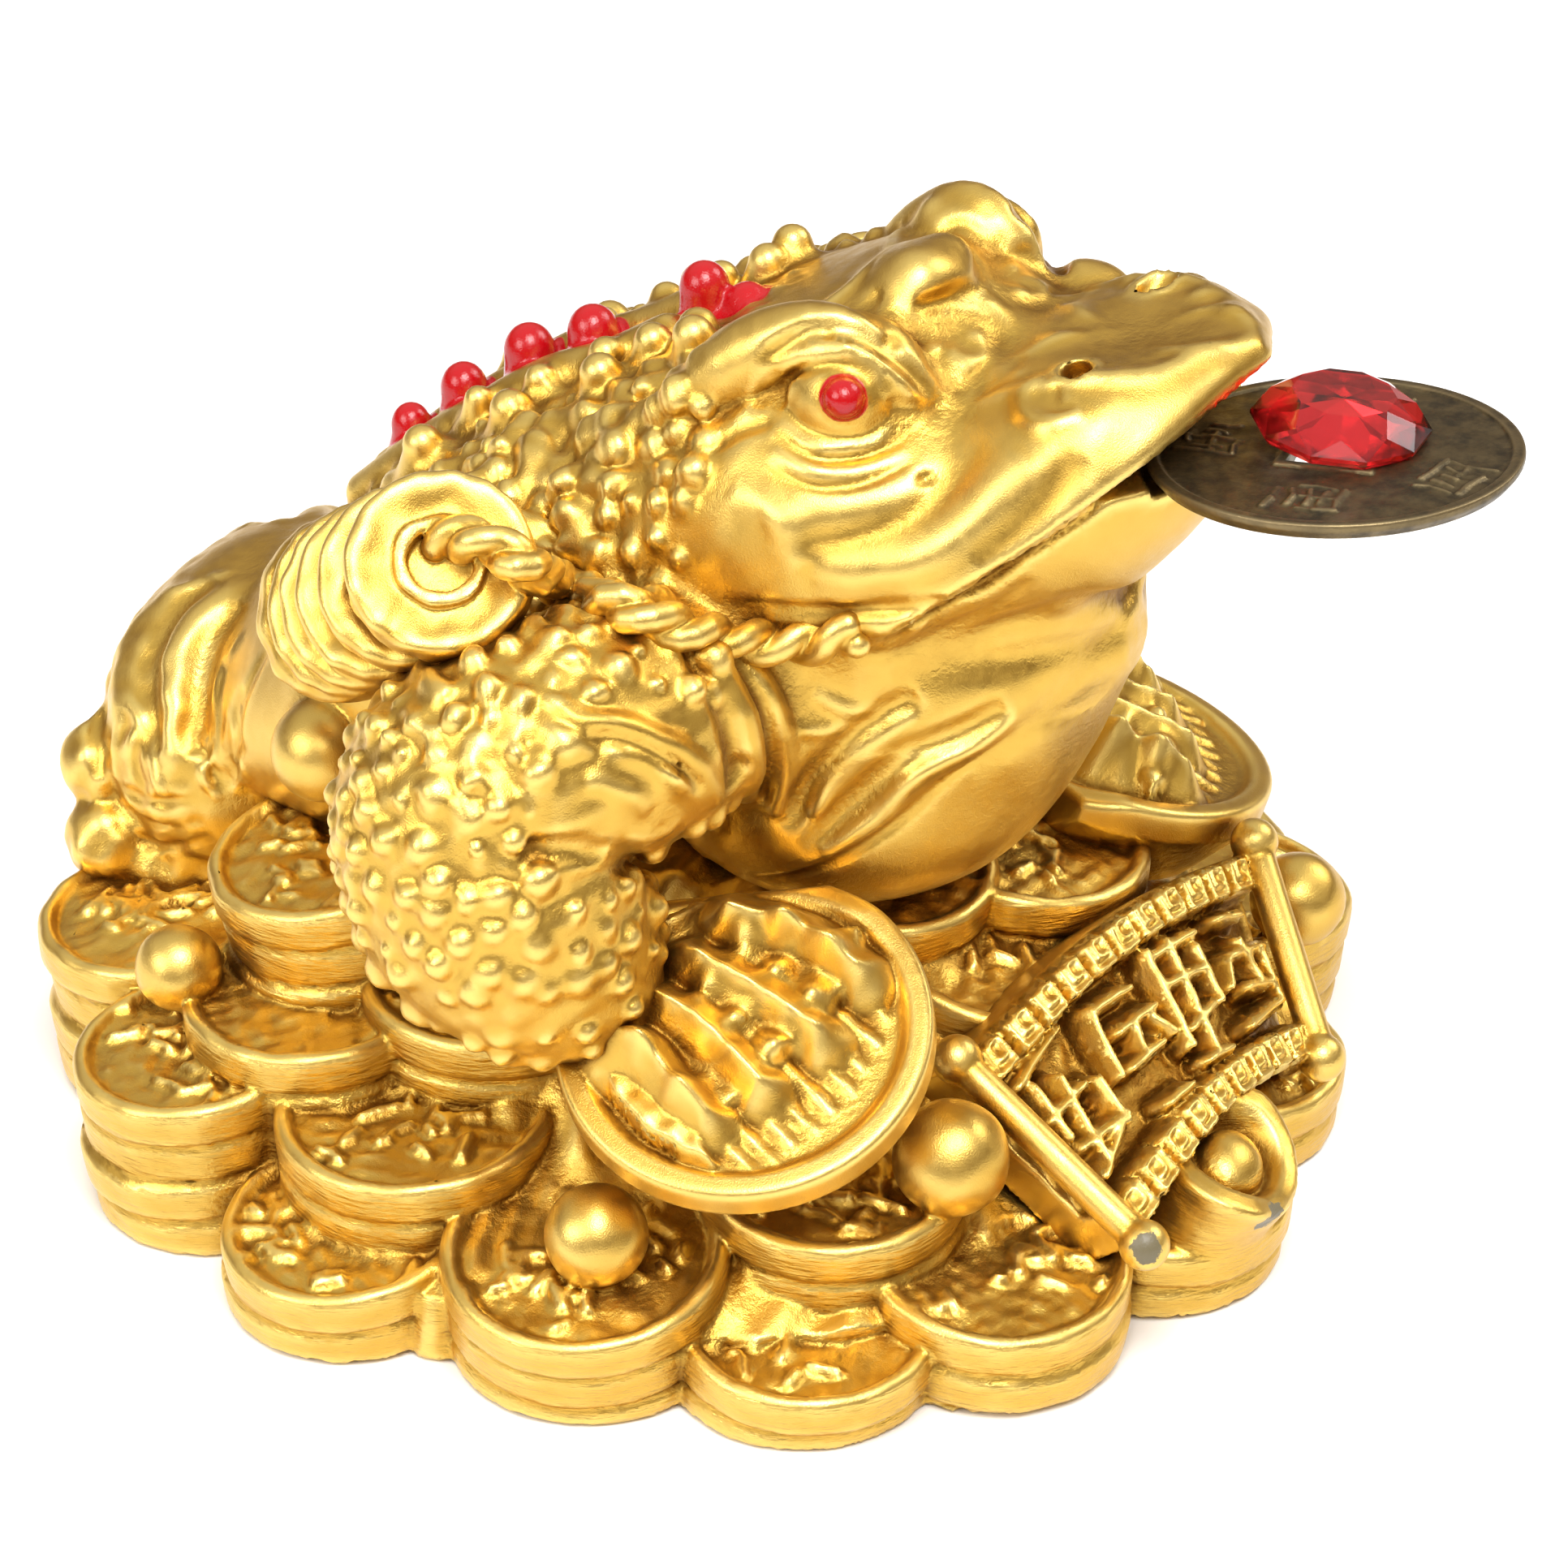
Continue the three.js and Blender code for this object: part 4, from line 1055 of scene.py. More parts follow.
def scroll_sheet(relief, bed=False):
    """The sheet with its relief, or the bed that is cut for it into the heap."""
    top_left, top_right, foot_left, foot_right = SCROLL_CORNERS
    f = SCROLL_FACING

    def at(a, d):
        upper = [mix(left, right, a) for left, right in zip(top_left, top_right)]
        lower = [mix(left, right, a) for left, right in zip(foot_left, foot_right)]
        made = [mix(u, w, d) for u, w in zip(upper, lower)]
        made[2] = made[2] + SCROLL_BULGE * np.sin(math.pi * a)
        return made

    def distance(x, y, z):
        shape = np.broadcast_shapes(x.shape, y.shape, z.shape)
        a = np.full(shape, 0.5, np.float32)
        d = np.full(shape, 0.5, np.float32)
        lift = np.zeros(shape, np.float32)
        for _ in range(SCROLL_ROUNDS):
            gap = [c - p - lift * w for c, p, w in zip((x, y, z), at(a, d), f)]
            to_right = [mix(p, q, d) for p, q in zip(top_right - top_left, foot_right - foot_left)]
            to_right[2] = to_right[2] + SCROLL_BULGE * math.pi * np.cos(math.pi * a)
            down = [mix(p, q, a) for p, q in zip(foot_left - top_left, foot_right - top_right)]
            whole = sum(r * w for r, w in zip(to_right, crossed(down, f)))
            step, fall, rise = (
                sum(g * w for g, w in zip(gap, crossed(*pair))) / whole
                for pair in ((down, f), (f, to_right), (to_right, down))
            )
            a = np.clip(a + step, -0.3, 1.3)
            d = np.clip(d + fall, -0.8, 1.8)
            lift = lift + rise
        u, v = (a - 0.5) * SCROLL_WIDE, (d - 0.5) * SCROLL_HIGH
        side = np.maximum(np.abs(u) - SCROLL_WIDE / 2, np.abs(v) - SCROLL_HIGH / 2)
        if bed:
            return np.maximum(side + 0.5, SCROLL_BED - lift)
        top = (lift - relief.at(u, v)) * 0.85
        return -smooth_min(smooth_min(-side, -top, 0.3), lift - SCROLL_BACK, 0)

    low = np.min(SCROLL_CORNERS, axis=0) - 7
    high = np.max(SCROLL_CORNERS, axis=0) + 5
    return Form(low, high, distance)


def scroll(clay):
    top_left, top_right, foot_left, foot_right = SCROLL_CORNERS
    clay.add(scroll_sheet(scroll_relief()), 0.2)
    for foot_end, top_end in ((foot_left, top_left), (foot_right, top_right)):
        way = unit(top_end - foot_end)
        ends = [foot_end - way * 0.2, top_end + way * 0.4]
        clay.tube(ends, SCROLL_ROD, 0.2)
        for end in ends:
            clay.add(ball(end, SCROLL_KNOB), 0.2)


# Folds, creases and lines of the skin, as the photograph shows them on the near side: pixels,
# width, height (negative for a groove) and, where it isn't none, the share of the height at the two
# ends. The far side has them mirrored.
FOLDS = [
    # Lids and creases round the eye
    ([(905, 520), (940, 470), (975, 440), (1020, 425), (1060, 430), (1090, 450), (1140, 495)], 0.5, 0.5),
    ([(960, 510), (985, 460), (1030, 440), (1070, 460), (1095, 490)], 0.4, 0.45),
    ([(930, 500), (958, 452), (1000, 428), (1040, 424)], 0.4, -0.9),
    ([(958, 508), (970, 472), (1002, 450), (1042, 446), (1078, 466)], 0.35, -0.7),
    ([(945, 440), (1000, 408), (1050, 408), (1105, 440), (1150, 486)], 0.6, -1.6, (0.2, 0.2)),
    ([(960, 515), (990, 545), (1030, 552), (1075, 545), (1105, 515)], 0.4, 0.5),
    ([(955, 535), (1000, 562), (1050, 564), (1100, 548), (1135, 520)], 0.3, -0.45),
    ([(950, 555), (1000, 580), (1060, 580), (1120, 556)], 0.45, 0.5),
    ([(945, 580), (1000, 600), (1060, 598), (1130, 570)], 0.35, -0.35),
    ([(850, 560), (880, 550), (910, 530), (950, 520)], 0.5, -0.7),
    ([(1095, 500), (1125, 505), (1160, 500)], 0.5, -0.9, (0, 0.2)),
    # Far brow
    ([(1150, 300), (1165, 282), (1190, 276), (1215, 292)], 0.5, -0.6),
    ([(1110, 275), (1100, 300), (1092, 322)], 0.5, 0.5),
    ([(1225, 262), (1248, 310), (1262, 360)], 0.7, 0.4),
    # Bridge of the nose
    ([(1190, 385), (1215, 420), (1240, 470)], 1.2, 0.9, (0.2, 0.2)),
    ([(1202, 312), (1214, 345), (1205, 378)], 0.6, -0.9),
    ([(1170, 425), (1190, 440), (1205, 450)], 1.2, 0.8, (0.2, 0)),
    ([(1128, 378), (1175, 372), (1215, 378), (1245, 400)], 0.5, -1.0),
    ([(1130, 392), (1148, 440), (1192, 484)], 0.55, -1.2),
    ([(1256, 430), (1230, 462), (1200, 486)], 0.5, -0.9),
    # Cheek
    ([(1190, 520), (1130, 590), (1040, 625), (940, 640)], 1.3, 0.5),
    ([(1215, 545), (1150, 620), (1060, 660), (960, 668)], 0.9, -0.35),
    ([(1260, 560), (1200, 650), (1110, 700), (1000, 705)], 1.4, 0.55),
    ([(1330, 560), (1270, 640), (1200, 690)], 1.0, -0.35),
    ([(900, 600), (960, 640), (990, 700)], 1.2, 0.4),
    # Nose: the edge of the snout's flat top, and the fold round the nostril
    ([(1262, 428), (1310, 405), (1365, 386), (1425, 374), (1490, 372), (1535, 392)],
     0.9, 0.6, (0.5, 0.5)),
    ([(1288, 462), (1262, 486), (1266, 512), (1296, 522), (1335, 508)], 0.6, 0.9, (0.2, 0)),
    ([(1300, 476), (1300, 500), (1325, 500)], 0.4, -0.4),
    ([(1235, 400), (1225, 450), (1205, 480)], 0.6, -0.6),
    # Corner of the mouth: the lip's line runs on over a leaf of skin
    ([(1250, 694), (1200, 724), (1152, 746), (1080, 750), (990, 752), (900, 746)], 0.5, -0.8, (0.3, 0)),
    ([(1040, 778), (1080, 772), (1140, 772)], 1.0, 0.8),
    ([(1050, 806), (1120, 800), (1200, 762), (1270, 712)], 0.6, -0.5),
    # Throat and belly
    ([(1418, 722), (1350, 738), (1250, 764), (1190, 792), (1100, 806)], 1.1, -0.55),
    ([(1405, 770), (1350, 792), (1290, 802), (1200, 820), (1100, 834)], 1.1, -0.6),
    ([(1380, 745), (1300, 782), (1220, 800)], 1.3, 0.35),
    ([(1372, 845), (1330, 872), (1280, 894), (1240, 922), (1200, 952)], 1.0, -0.6),
    ([(1130, 856), (1085, 884), (1040, 922), (1000, 965), (975, 1010)], 0.8, -1.8, (0, 0.3)),
    ([(1128, 876), (1060, 918), (1018, 962), (1002, 1010)], 0.6, 0.9),
    ([(1240, 872), (1190, 900), (1110, 940), (1050, 990), (1005, 1040)], 0.8, -1.8, (0, 0.3)),
    ([(1252, 880), (1200, 920), (1130, 958), (1080, 1010), (1010, 1052)], 0.6, 0.9),
    ([(1256, 900), (1180, 950), (1110, 1010), (1020, 1064), (930, 1082)], 0.4, -0.6),
    ([(1000, 850), (1040, 872), (1100, 880)], 0.5, 0.4),
    ([(960, 905), (1010, 900), (1060, 890)], 0.5, 0.4),
    # Shoulder
    ([(872, 800), (905, 850), (925, 900), (930, 950), (916, 985)], 0.75, 1.7, (0.3, 0)),
    ([(846, 800), (880, 850), (898, 905), (903, 962)], 0.6, -2.5, (0.3, 0.6)),
    ([(905, 815), (938, 870), (950, 930), (945, 990)], 0.5, -1.3, (0.3, 0)),
    ([(930, 825), (958, 880), (966, 940), (955, 1005)], 0.7, 1.6, (0.3, 0)),
    ([(684, 858), (709, 885), (760, 892), (810, 912), (855, 940), (884, 987)], 0.6, 2.1, (0, 0.2)),
    ([(725, 905), (780, 915), (830, 942), (862, 975)], 0.5, -1.3),
    ([(745, 918), (800, 934), (846, 972), (874, 1014), (866, 1066)], 0.65, 2.1, (0, 0.3)),
    ([(720, 960), (770, 975), (800, 1000)], 0.6, 0.7),
    ([(770, 1030), (810, 1030), (838, 1008)], 0.4, 0.5),
    ([(640, 1050), (700, 1046), (734, 1054), (775, 1064), (823, 1078), (868, 1092)],
     0.75, -2.8, (0.1, 0.8)),
    # Wrinkles of the foreleg
    ([(592, 898), (576, 928), (592, 962), (640, 985), (684, 968)], 0.5, 0.6),
    ([(640, 962), (660, 935), (700, 922), (735, 925)], 0.5, 0.6),
    ([(560, 1062), (590, 1090), (640, 1085), (680, 1050)], 0.6, -0.5),
    ([(610, 1060), (640, 1075), (700, 1072), (740, 1060)], 0.5, 0.6),
    ([(720, 1120), (700, 1140), (640, 1150)], 0.6, 0.4),
    # Rump and hind foot
    ([(262, 712), (215, 750), (186, 800), (182, 860), (196, 930)], 1.1, -1.5),
    ([(300, 742), (258, 790), (244, 850), (240, 930)], 1.0, -1.7),
    ([(285, 726), (235, 770), (212, 820), (212, 900), (210, 955)], 1.3, 0.6, (0.5, 0)),
    ([(220, 720), (170, 770), (150, 830), (150, 900)], 1.5, 0.6),
    ([(300, 780), (272, 830), (268, 900), (275, 950)], 0.7, 1.1),
    ([(330, 800), (300, 860), (290, 920), (262, 980)], 0.5, -1.0),
    ([(246, 905), (262, 925), (252, 955), (270, 985)], 0.4, 0.8),
    ([(282, 925), (300, 945), (290, 975)], 0.4, 0.8),
    ([(135, 860), (160, 870), (175, 900), (150, 935)], 0.7, 0.6),
    ([(120, 880), (118, 920), (125, 960)], 0.6, -0.7),
    ([(150, 880), (142, 930), (150, 975)], 0.5, 0.6),
    ([(172, 890), (168, 940), (180, 985)], 0.45, -0.7),
    ([(192, 900), (190, 950), (205, 990)], 0.45, 0.6),
    ([(262, 860), (256, 910), (262, 965)], 0.45, -0.8),
    ([(282, 870), (280, 920), (290, 960)], 0.4, 0.6),
    ([(208, 728), (250, 718), (285, 706)], 0.5, 0.35),
    ([(300, 850), (290, 880), (300, 930)], 0.6, -0.8),
    ([(135, 960), (180, 985), (240, 985)], 0.4, -0.5),
    ([(130, 985), (180, 1012), (250, 1010)], 0.4, -0.5),
    ([(140, 1015), (190, 1040), (260, 1030)], 0.4, -0.5),
]
# Pits and single bumps: pixel, radius, height
PITS = [
    ((1145, 255), 1.0, 0.5), ((1138, 338), 2.6, 1.1), ((1140, 590), 0.4, -0.9),
    ((855, 580), 0.9, 0.7), ((270, 815), 0.7, -1.0), ((655, 1045), 0.7, -1.3),
    ((785, 1065), 1.1, -1.6), ((662, 760), 0.9, -1.6), ((622, 758), 0.6, -1.0),
    ((908, 945), 0.7, -1.4), ((1100, 420), 0.6, -0.9), ((1022, 414), 0.4, -0.6),
]
NOSTRIL = dict(pixel=(1326, 455), radius=1.15, rim=0.6)
SNOUT_HOLLOW = ((2.5, -26, 65), 4.6, -1.3)
FOREHEAD_HOLLOW = ((4.4, -16.4, 63.6), 3.4, -1.5)
SNOUT_EDGE = [(8.5, -19, 60.5), (8.6, -23.9, 63.6), (6.4, -29.2, 63.6), (3, -32, 64.3), (0, -34, 63.8)]
SNOUT_NUBS = [((5.6, -28.4, 64), 0.9, 0.5), ((3, -31.6, 64.5), 0.8, 0.6)]
WART_SEED = 11


def skin(clay):
    """Folds, pits and warts."""
    for pixels, width, height, *ends in FOLDS:
        made = curve(clay.seen(pixels), 4 * len(pixels))
        for line in (made, mirrored(made)):
            clay.stroke(line, width, height, *ends)
    for pixel, radius, height in PITS:
        place = clay.seen([pixel])[0]
        for centre in (place, mirrored(place)):
            clay.bump(centre, radius, height)
    for side in (-1, 1):
        for place, radius, height in (SNOUT_HOLLOW, FOREHEAD_HOLLOW):
            clay.bump(np.array(place) * [side, 1, 1], radius, height)
        clay.stroke(curve(SNOUT_EDGE) * [side, 1, 1], 0.8, 0.7, (0.2, 0.6))
    for place, radius, height in SNOUT_NUBS:
        clay.bump(place, radius, height)
    place = clay.seen([NOSTRIL["pixel"]])[0]
    for centre in (place, mirrored(place)):
        nostril(clay, centre, NOSTRIL["radius"], NOSTRIL["rim"])
    clay.roughen(0.015, 1.6, 41)
    clay.roughen(0.03, 4.5, 42)
    warts(clay)


def nostril(clay, centre, radius, rim):
    """A hole inwards and to the back, in a raised ring."""
    normal = clay.slope(centre[None], 0.8)[0]
    a, b = across(normal)
    angle = np.linspace(0, 2 * math.pi, 13)[:, None]
    ring = centre + (radius + 0.25) * (np.cos(angle) * a + np.sin(angle) * b)
    clay.stroke(ring, 0.35, rim, (1, 1))
    way = unit(clay.slope(centre[None], 0.8)[0] + [math.copysign(1, centre[0]), -0.4, 0])
    clay.tube([centre + way, centre - 1.6 * way], (radius, radius * 0.8), 0.1, True)


# The bare patch on the foreleg: its pixel and reach
SMOOTH_SPOT, SMOOTH_REACH = (800, 985), 6.4
# Warts: the box they are in, how far they are apart, their least and greatest radius
ARM_WARTS = (-44, -8, 22), (44, 16, 50), 1.85, (0.55, 1.35)
FLANK_WARTS = (-24, -3, 46), (24, 16, 60), 2.0, (0.7, 1.5)
BACK_WARTS = (-23, 4, 38), (23, 36, 58), 2.4, (0.7, 1.6)
ARM_FROM, FLANK_FROM, BACK_FROM = 22.5, 9.5, 3.8
# Below this height the forelegs keep only a share of them
SPARSE_BELOW, SPARSE_SHARE = 30, 0.45


def warts(clay):
    """Warts, dense on the forelegs' outer side and in a patch on each flank, sparse on the back."""
    dice = np.random.default_rng(WART_SEED)
    smooth = clay.seen([SMOOTH_SPOT])[0]
    for side in (-1, 1):
        low, high, spacing, radii = ARM_WARTS
        places = clay.scatter(low, high, lambda x, y, z: side * x > ARM_FROM, spacing, WART_SEED + side)
        bare = smooth * [-side, 1, 1]
        places = places[((places - bare) ** 2).sum(1) > SMOOTH_REACH ** 2]
        sparse = places[:, 2] < SPARSE_BELOW
        places = places[~sparse | (dice.uniform(0, 1, len(places)) < SPARSE_SHARE)]
        clay.warts(places, dice.uniform(*radii, len(places)), 0.35)
        low, high, spacing, radii = FLANK_WARTS
        seed = WART_SEED + 10 + side
        places = clay.scatter(low, high, lambda x, y, z: side * x > FLANK_FROM, spacing, seed)
        clay.warts(places, dice.uniform(*radii, len(places)), 0.25)
    low, high, spacing, radii = BACK_WARTS
    places = clay.scatter(low, high, lambda x, y, z: np.abs(x) > BACK_FROM, spacing, WART_SEED + 20)
    clay.warts(places, dice.uniform(*radii, len(places)), 0.35)
    clay.roughen(0.14, 1.1, 44, on_top)
    clay.roughen(0.065, 1.1, 45, on_forelegs)
    clay.roughen(0.12, 1.3, 46, low_behind)


def on_top(x, y, z):
    return smooth_step(y, -4, 1) * smooth_step(z, 41, 45) * smooth_step(y, 36, 30)


def on_forelegs(x, y, z):
    return smooth_step(np.abs(x), 21, 25) * smooth_step(y, 18, 13)


def low_behind(x, y, z):
    return smooth_step(y, 33, 38) * smooth_step(z, 33, 27)


# Spikes in two rows along each side of the back, from one y, z and height to another
SPIKE_ROWS = [
    dict(x=7, start=(22, 46.6, 2.8), end=(1, 57.8, 4.3), count=4),
    dict(x=12.5, start=(18, 45.6, 2.5), end=(2, 54.6, 3.3), count=3),
]
SPIKE_FOOT = 3.0
SPIKE_TOP = 1.4
# More blunt lumps beside the spine: x, y, z, radius
NUBS = [
    (4.6, 9.6, 56.2, 1.5), (5.2, 5.8, 58.2, 1.6), (5.4, 2.4, 60, 1.7), (8, -0.6, 59, 1.4),
    (4.8, 14.5, 53.4, 1.3), (9.5, 5.5, 56.2, 1.4), (9.6, 11, 53, 1.3), (4.4, 19.5, 50.6, 1.2),
]


def spikes(clay):
    """Blunt cones, taller towards the head."""
    for row in SPIKE_ROWS:
        for i in range(row["count"]):
            t = i / (row["count"] - 1)
            y, z, height = (mix(a, b, t) for a, b in zip(row["start"], row["end"]))
            for side in (-1, 1):
                foot_end = np.array([side * row["x"], y, z])
                way = leaning(18, 45 if side > 0 else 135)
                ends = [foot_end - way, foot_end + way * (height - SPIKE_TOP)]
                clay.tube(ends, (SPIKE_FOOT, SPIKE_TOP), 0.9)
    for x, y, z, radius in NUBS:
        for side in (-1, 1):
            top = np.array([side * x, y, z])
            clay.tube([top - [0, 0, 2.5], top], (radius * 1.25, radius * 0.8), 0.5)


# Mouth: a wedge in the side view, the slot for the token, and the line between the closed lips
MOUTH_CORNER = (-24.2, 54.1)
UPPER_LIP = (-36, 63.8)
LOWER_LIP = (-32.4, 56.7)
LIP_FOOT = (-17, 48)
LIP_SLOPE = 0.82
JAW_STEP = 1.6
LIP_FLARE = 1.1


def above_lip(y, z):
    """Height above the plane that the upper lip's edge lies in."""
    return (z - LIP_FOOT[1] - LIP_SLOPE * (LIP_FOOT[0] - y)) / math.hypot(1, LIP_SLOPE)


def jaw_step(clay):
    """Sets the lower jaw in from the upper lip."""
    cut, (x, y, z) = clay.window(np.array([-22, -36, 38]), np.array([22, -13, 66]))
    gap = above_lip(y, z)
    below = smooth_step(gap, 0.1, -0.5) * smooth_step(gap, -12, -3)
    clay.field[cut] += JAW_STEP * below * smooth_step(y, -14, -19)
    flare = np.exp(-((gap - 0.2) / 1.7) ** 2) * smooth_step(gap, -0.35, 0.05)
    clay.field[cut] -= LIP_FLARE * flare * smooth_step(y, -15, -19) * smooth_step(y, -35, -31.5)
    line = 0.7 * np.exp(-((gap + 0.3) / 0.35) ** 2)
    clay.field[cut] += line * smooth_step(y, -15.5, -18)


def mouth(clay):
    corner, upper, lower = (np.array(p, float) for p in (MOUTH_CORNER, UPPER_LIP, LOWER_LIP))
    outline = [corner, upper, lower - [8, 0], lower]

    def wedge(x, y, z):
        sides = []
        for a, b in zip(outline, outline[1:] + outline[:1]):
            way = unit(b - a)
            sides.append((y - a[0]) * way[1] - (z - a[1]) * way[0])
        return np.maximum.reduce(np.broadcast_arrays(x - 25, *sides))

    clay.carve(Form((-20, -41, 53), (20, -24, 64), wedge), 0.3)

    def slot(x, y, z):
        u, v, h = seated((x, y, z))
        thick = TOKEN_THICKNESS / 2 + CLEARANCE
        return np.maximum(np.sqrt(u * u + v * v) - TOKEN_RADIUS - CLEARANCE, np.abs(h) - thick)

    clay.carve(around(TOKEN_CENTRE, TOKEN_RADIUS + 1, slot))


def seated(place):
    """Coordinates in the token's own frame."""
    return in_frame(place, TOKEN_CENTRE, np.array(TOKEN_TURN).T)


# Meshing

def surface_net(clay):
    """The surface of the grid as corners and four-sided faces."""
    field = clay.field
    inside = field < 0
    count = 0
    for step in np.ndindex(2, 2, 2):
        part = tuple(slice(i, size - 1 + i) for i, size in zip(step, inside.shape))
        count = count + inside[part].astype(np.uint8)
    active = (count > 0) & (count < 8)
    number = np.full(active.shape, -1, np.int32)
    cells = np.argwhere(active)
    number[active] = np.arange(len(cells))
    total = np.zeros((len(cells), 3))
    crossings = np.zeros(len(cells))
    for axis in range(3):
        for step in np.ndindex(2, 2):
            start = np.insert(step, axis, 0)
            end = np.insert(step, axis, 1)
            a = field[tuple((cells + start).T)].astype(float)
            b = field[tuple((cells + end).T)].astype(float)
            cross = (a < 0) != (b < 0)
            t = np.where(cross, a / np.where(cross, a - b, 1), 0)
            total += cross[:, None] * (start + t[:, None] * (end - start))
            crossings += cross
    corners = clay.low + clay.step * (cells + total / crossings[:, None])
    faces = []
    for axis in range(3):
        before = tuple(slice(None, -1) if i == axis else slice(1, -1) for i in range(3))
        after = tuple(slice(1, None) if i == axis else slice(1, -1) for i in range(3))
        leaves = inside[before] & ~inside[after]
        enters = ~inside[before] & inside[after]
        side, up = [(1, 2), (2, 0), (0, 1)][axis]
        for crossing, turned in ((leaves, False), (enters, True)):
            at = np.argwhere(crossing)
            for i in (side, up):
                at[:, i] += 1
            corner = []
            for da, db in ((1, 1), (0, 1), (0, 0), (1, 0)):
                cell = at.copy()
                cell[:, side] -= da
                cell[:, up] -= db
                corner.append(number[tuple(cell.T)])
            quad = np.stack(corner, 1)
            faces.append(quad[:, ::-1] if turned else quad)
    return corners, np.vstack(faces)


def mesh_object(name, corners, faces):
    data = bpy.data.meshes.new(name)
    data.vertices.add(len(corners))
    data.vertices.foreach_set("co", (corners * MM).astype(np.float32).ravel())
    sides = faces.shape[1]
    data.loops.add(faces.size)
    data.loops.foreach_set("vertex_index", faces.astype(np.int32).ravel())
    data.polygons.add(len(faces))
    data.polygons.foreach_set("loop_start", np.arange(0, faces.size, sides, dtype=np.int32))
    data.update(calc_edges=True)
    data.validate()
    made = bpy.data.objects.new(name, data)
    bpy.context.collection.objects.link(made)
    return made


def thinned(piece, faces_at_most):
    """The piece with its faces collapsed where the form is flattest, as triangles."""
    quads = len(piece.data.polygons)
    if quads * 2 > faces_at_most:
        modifier = piece.modifiers.new("thin", "DECIMATE")
        modifier.ratio = faces_at_most / (quads * 2)
        modifier.use_collapse_triangulate = True
        seen = piece.evaluated_get(bpy.context.evaluated_depsgraph_get())
        made = bpy.data.meshes.new_from_object(seen)
        piece.modifiers.clear()
        old, piece.data = piece.data, made
        bpy.data.meshes.remove(old)
    return piece


def edges_of(piece):
    """The two corners of each edge."""
    pairs = np.zeros(len(piece.data.edges) * 2, np.int32)
    piece.data.edges.foreach_get("vertices", pairs)
    return pairs.reshape(-1, 2)


RELAX_ROUNDS = 5
RELAX_PUSH = 0.25


def relaxed(piece, clay):
    """The piece with its corners spread evenly over the surface of its grid."""
    places = corners_of(piece)
    pairs = edges_of(piece)
    count = np.maximum(np.bincount(pairs.ravel(), minlength=len(places)), 1)
    for _ in range(RELAX_ROUNDS):
        middle = np.stack([
            np.bincount(pairs[:, 0], places[pairs[:, 1], i], len(places))
            + np.bincount(pairs[:, 1], places[pairs[:, 0], i], len(places))
            for i in range(3)
        ], 1) / count[:, None]
        places = 0.5 * places + 0.5 * middle
        for _ in range(2):
            push = np.clip(clay.sample(places), -RELAX_PUSH, RELAX_PUSH)
            places = places - clay.slope(places, clay.step * 0.75) * push[:, None]
    piece.data.vertices.foreach_set("co", (places * MM).astype(np.float32).ravel())
    piece.data.update()
    return piece


SCRAP_CORNERS = 300


def without_scraps(piece):
    """The piece without loose scraps and closed bubbles inside it."""
    pairs = edges_of(piece)
    label = np.arange(len(piece.data.vertices))
    while True:
        lowest = label.copy()
        np.minimum.at(lowest, pairs.ravel(), np.repeat(label[pairs].min(1), 2))
        lowest = lowest[lowest]
        if np.array_equal(lowest, label):
            break
        label = lowest
    loose = np.nonzero(np.bincount(label, minlength=len(label))[label] < SCRAP_CORNERS)[0]
    form = bmesh.new()
    form.from_mesh(piece.data)
    form.verts.ensure_lookup_table()
    bmesh.ops.delete(form, geom=[form.verts[i] for i in loose], context="VERTS")
    form.to_mesh(piece.data)
    form.free()
    return piece


def corners_of(piece):
    flat = np.zeros(len(piece.data.vertices) * 3, np.float32)
    piece.data.vertices.foreach_get("co", flat)
    return flat.reshape(-1, 3).astype(float) / MM


def shade(piece, normals):
    """Smooth faces with normals given for each corner."""
    data = piece.data
    data.polygons.foreach_set("use_smooth", np.ones(len(data.polygons), bool))
    data.normals_split_custom_set_from_vertices(normals.astype(np.float32))


def store(piece, name, values):
    """Stores a value for each corner, for the paint."""
    layer = piece.data.attributes.new(name, "FLOAT", "POINT")
    layer.data.foreach_set("value", values.astype(np.float32))


def hollows(piece, name, reach, distance, places):
    """Stores for each corner how much of the space within a reach of it is free."""
    dice = np.random.default_rng(1)
    ways = dice.normal(size=(18, 3))
    ways *= reach / np.linalg.norm(ways, axis=1, keepdims=True)
    total = sum(np.clip(distance(places + way), -reach, reach) for way in ways)
    store(piece, name, total / (len(ways) * reach))


def marks(piece, name, spots):
    """Stores for each corner how far it is from the nearest of some round spots, in millimetres."""
    places = corners_of(piece)
    near = np.full(len(places), 3.0)
    for centre, radius in spots:
        near = np.minimum(near, np.linalg.norm(places - np.array(centre), axis=1) - radius)
    store(piece, name, near)


# Finishes

GOLD = (0.64, 0.4, 0.074, 1)
# Painted highlight: a lighter gold for the raised parts
GOLD_PAINTED_HIGHLIGHT = (0.87, 0.64, 0.19, 1)
# Painted shade: a dark brown for the hollows and creases
GOLD_PAINTED_SHADE = (0.2, 0.085, 0.008, 1)
RED = (0.40, 0.003, 0.006, 1)
RESIN = (0.15, 0.125, 0.07, 1)
GOLD_METALLIC = 0.97
BRASS_DARK, BRASS, BRASS_LIGHT = (0.045, 0.035, 0.02, 1), (0.15, 0.11, 0.05, 1), (0.32, 0.24, 0.12, 1)
STREAKS, STREAK_SHAPE = 10.0, (0.4, 0.4, 2.6)


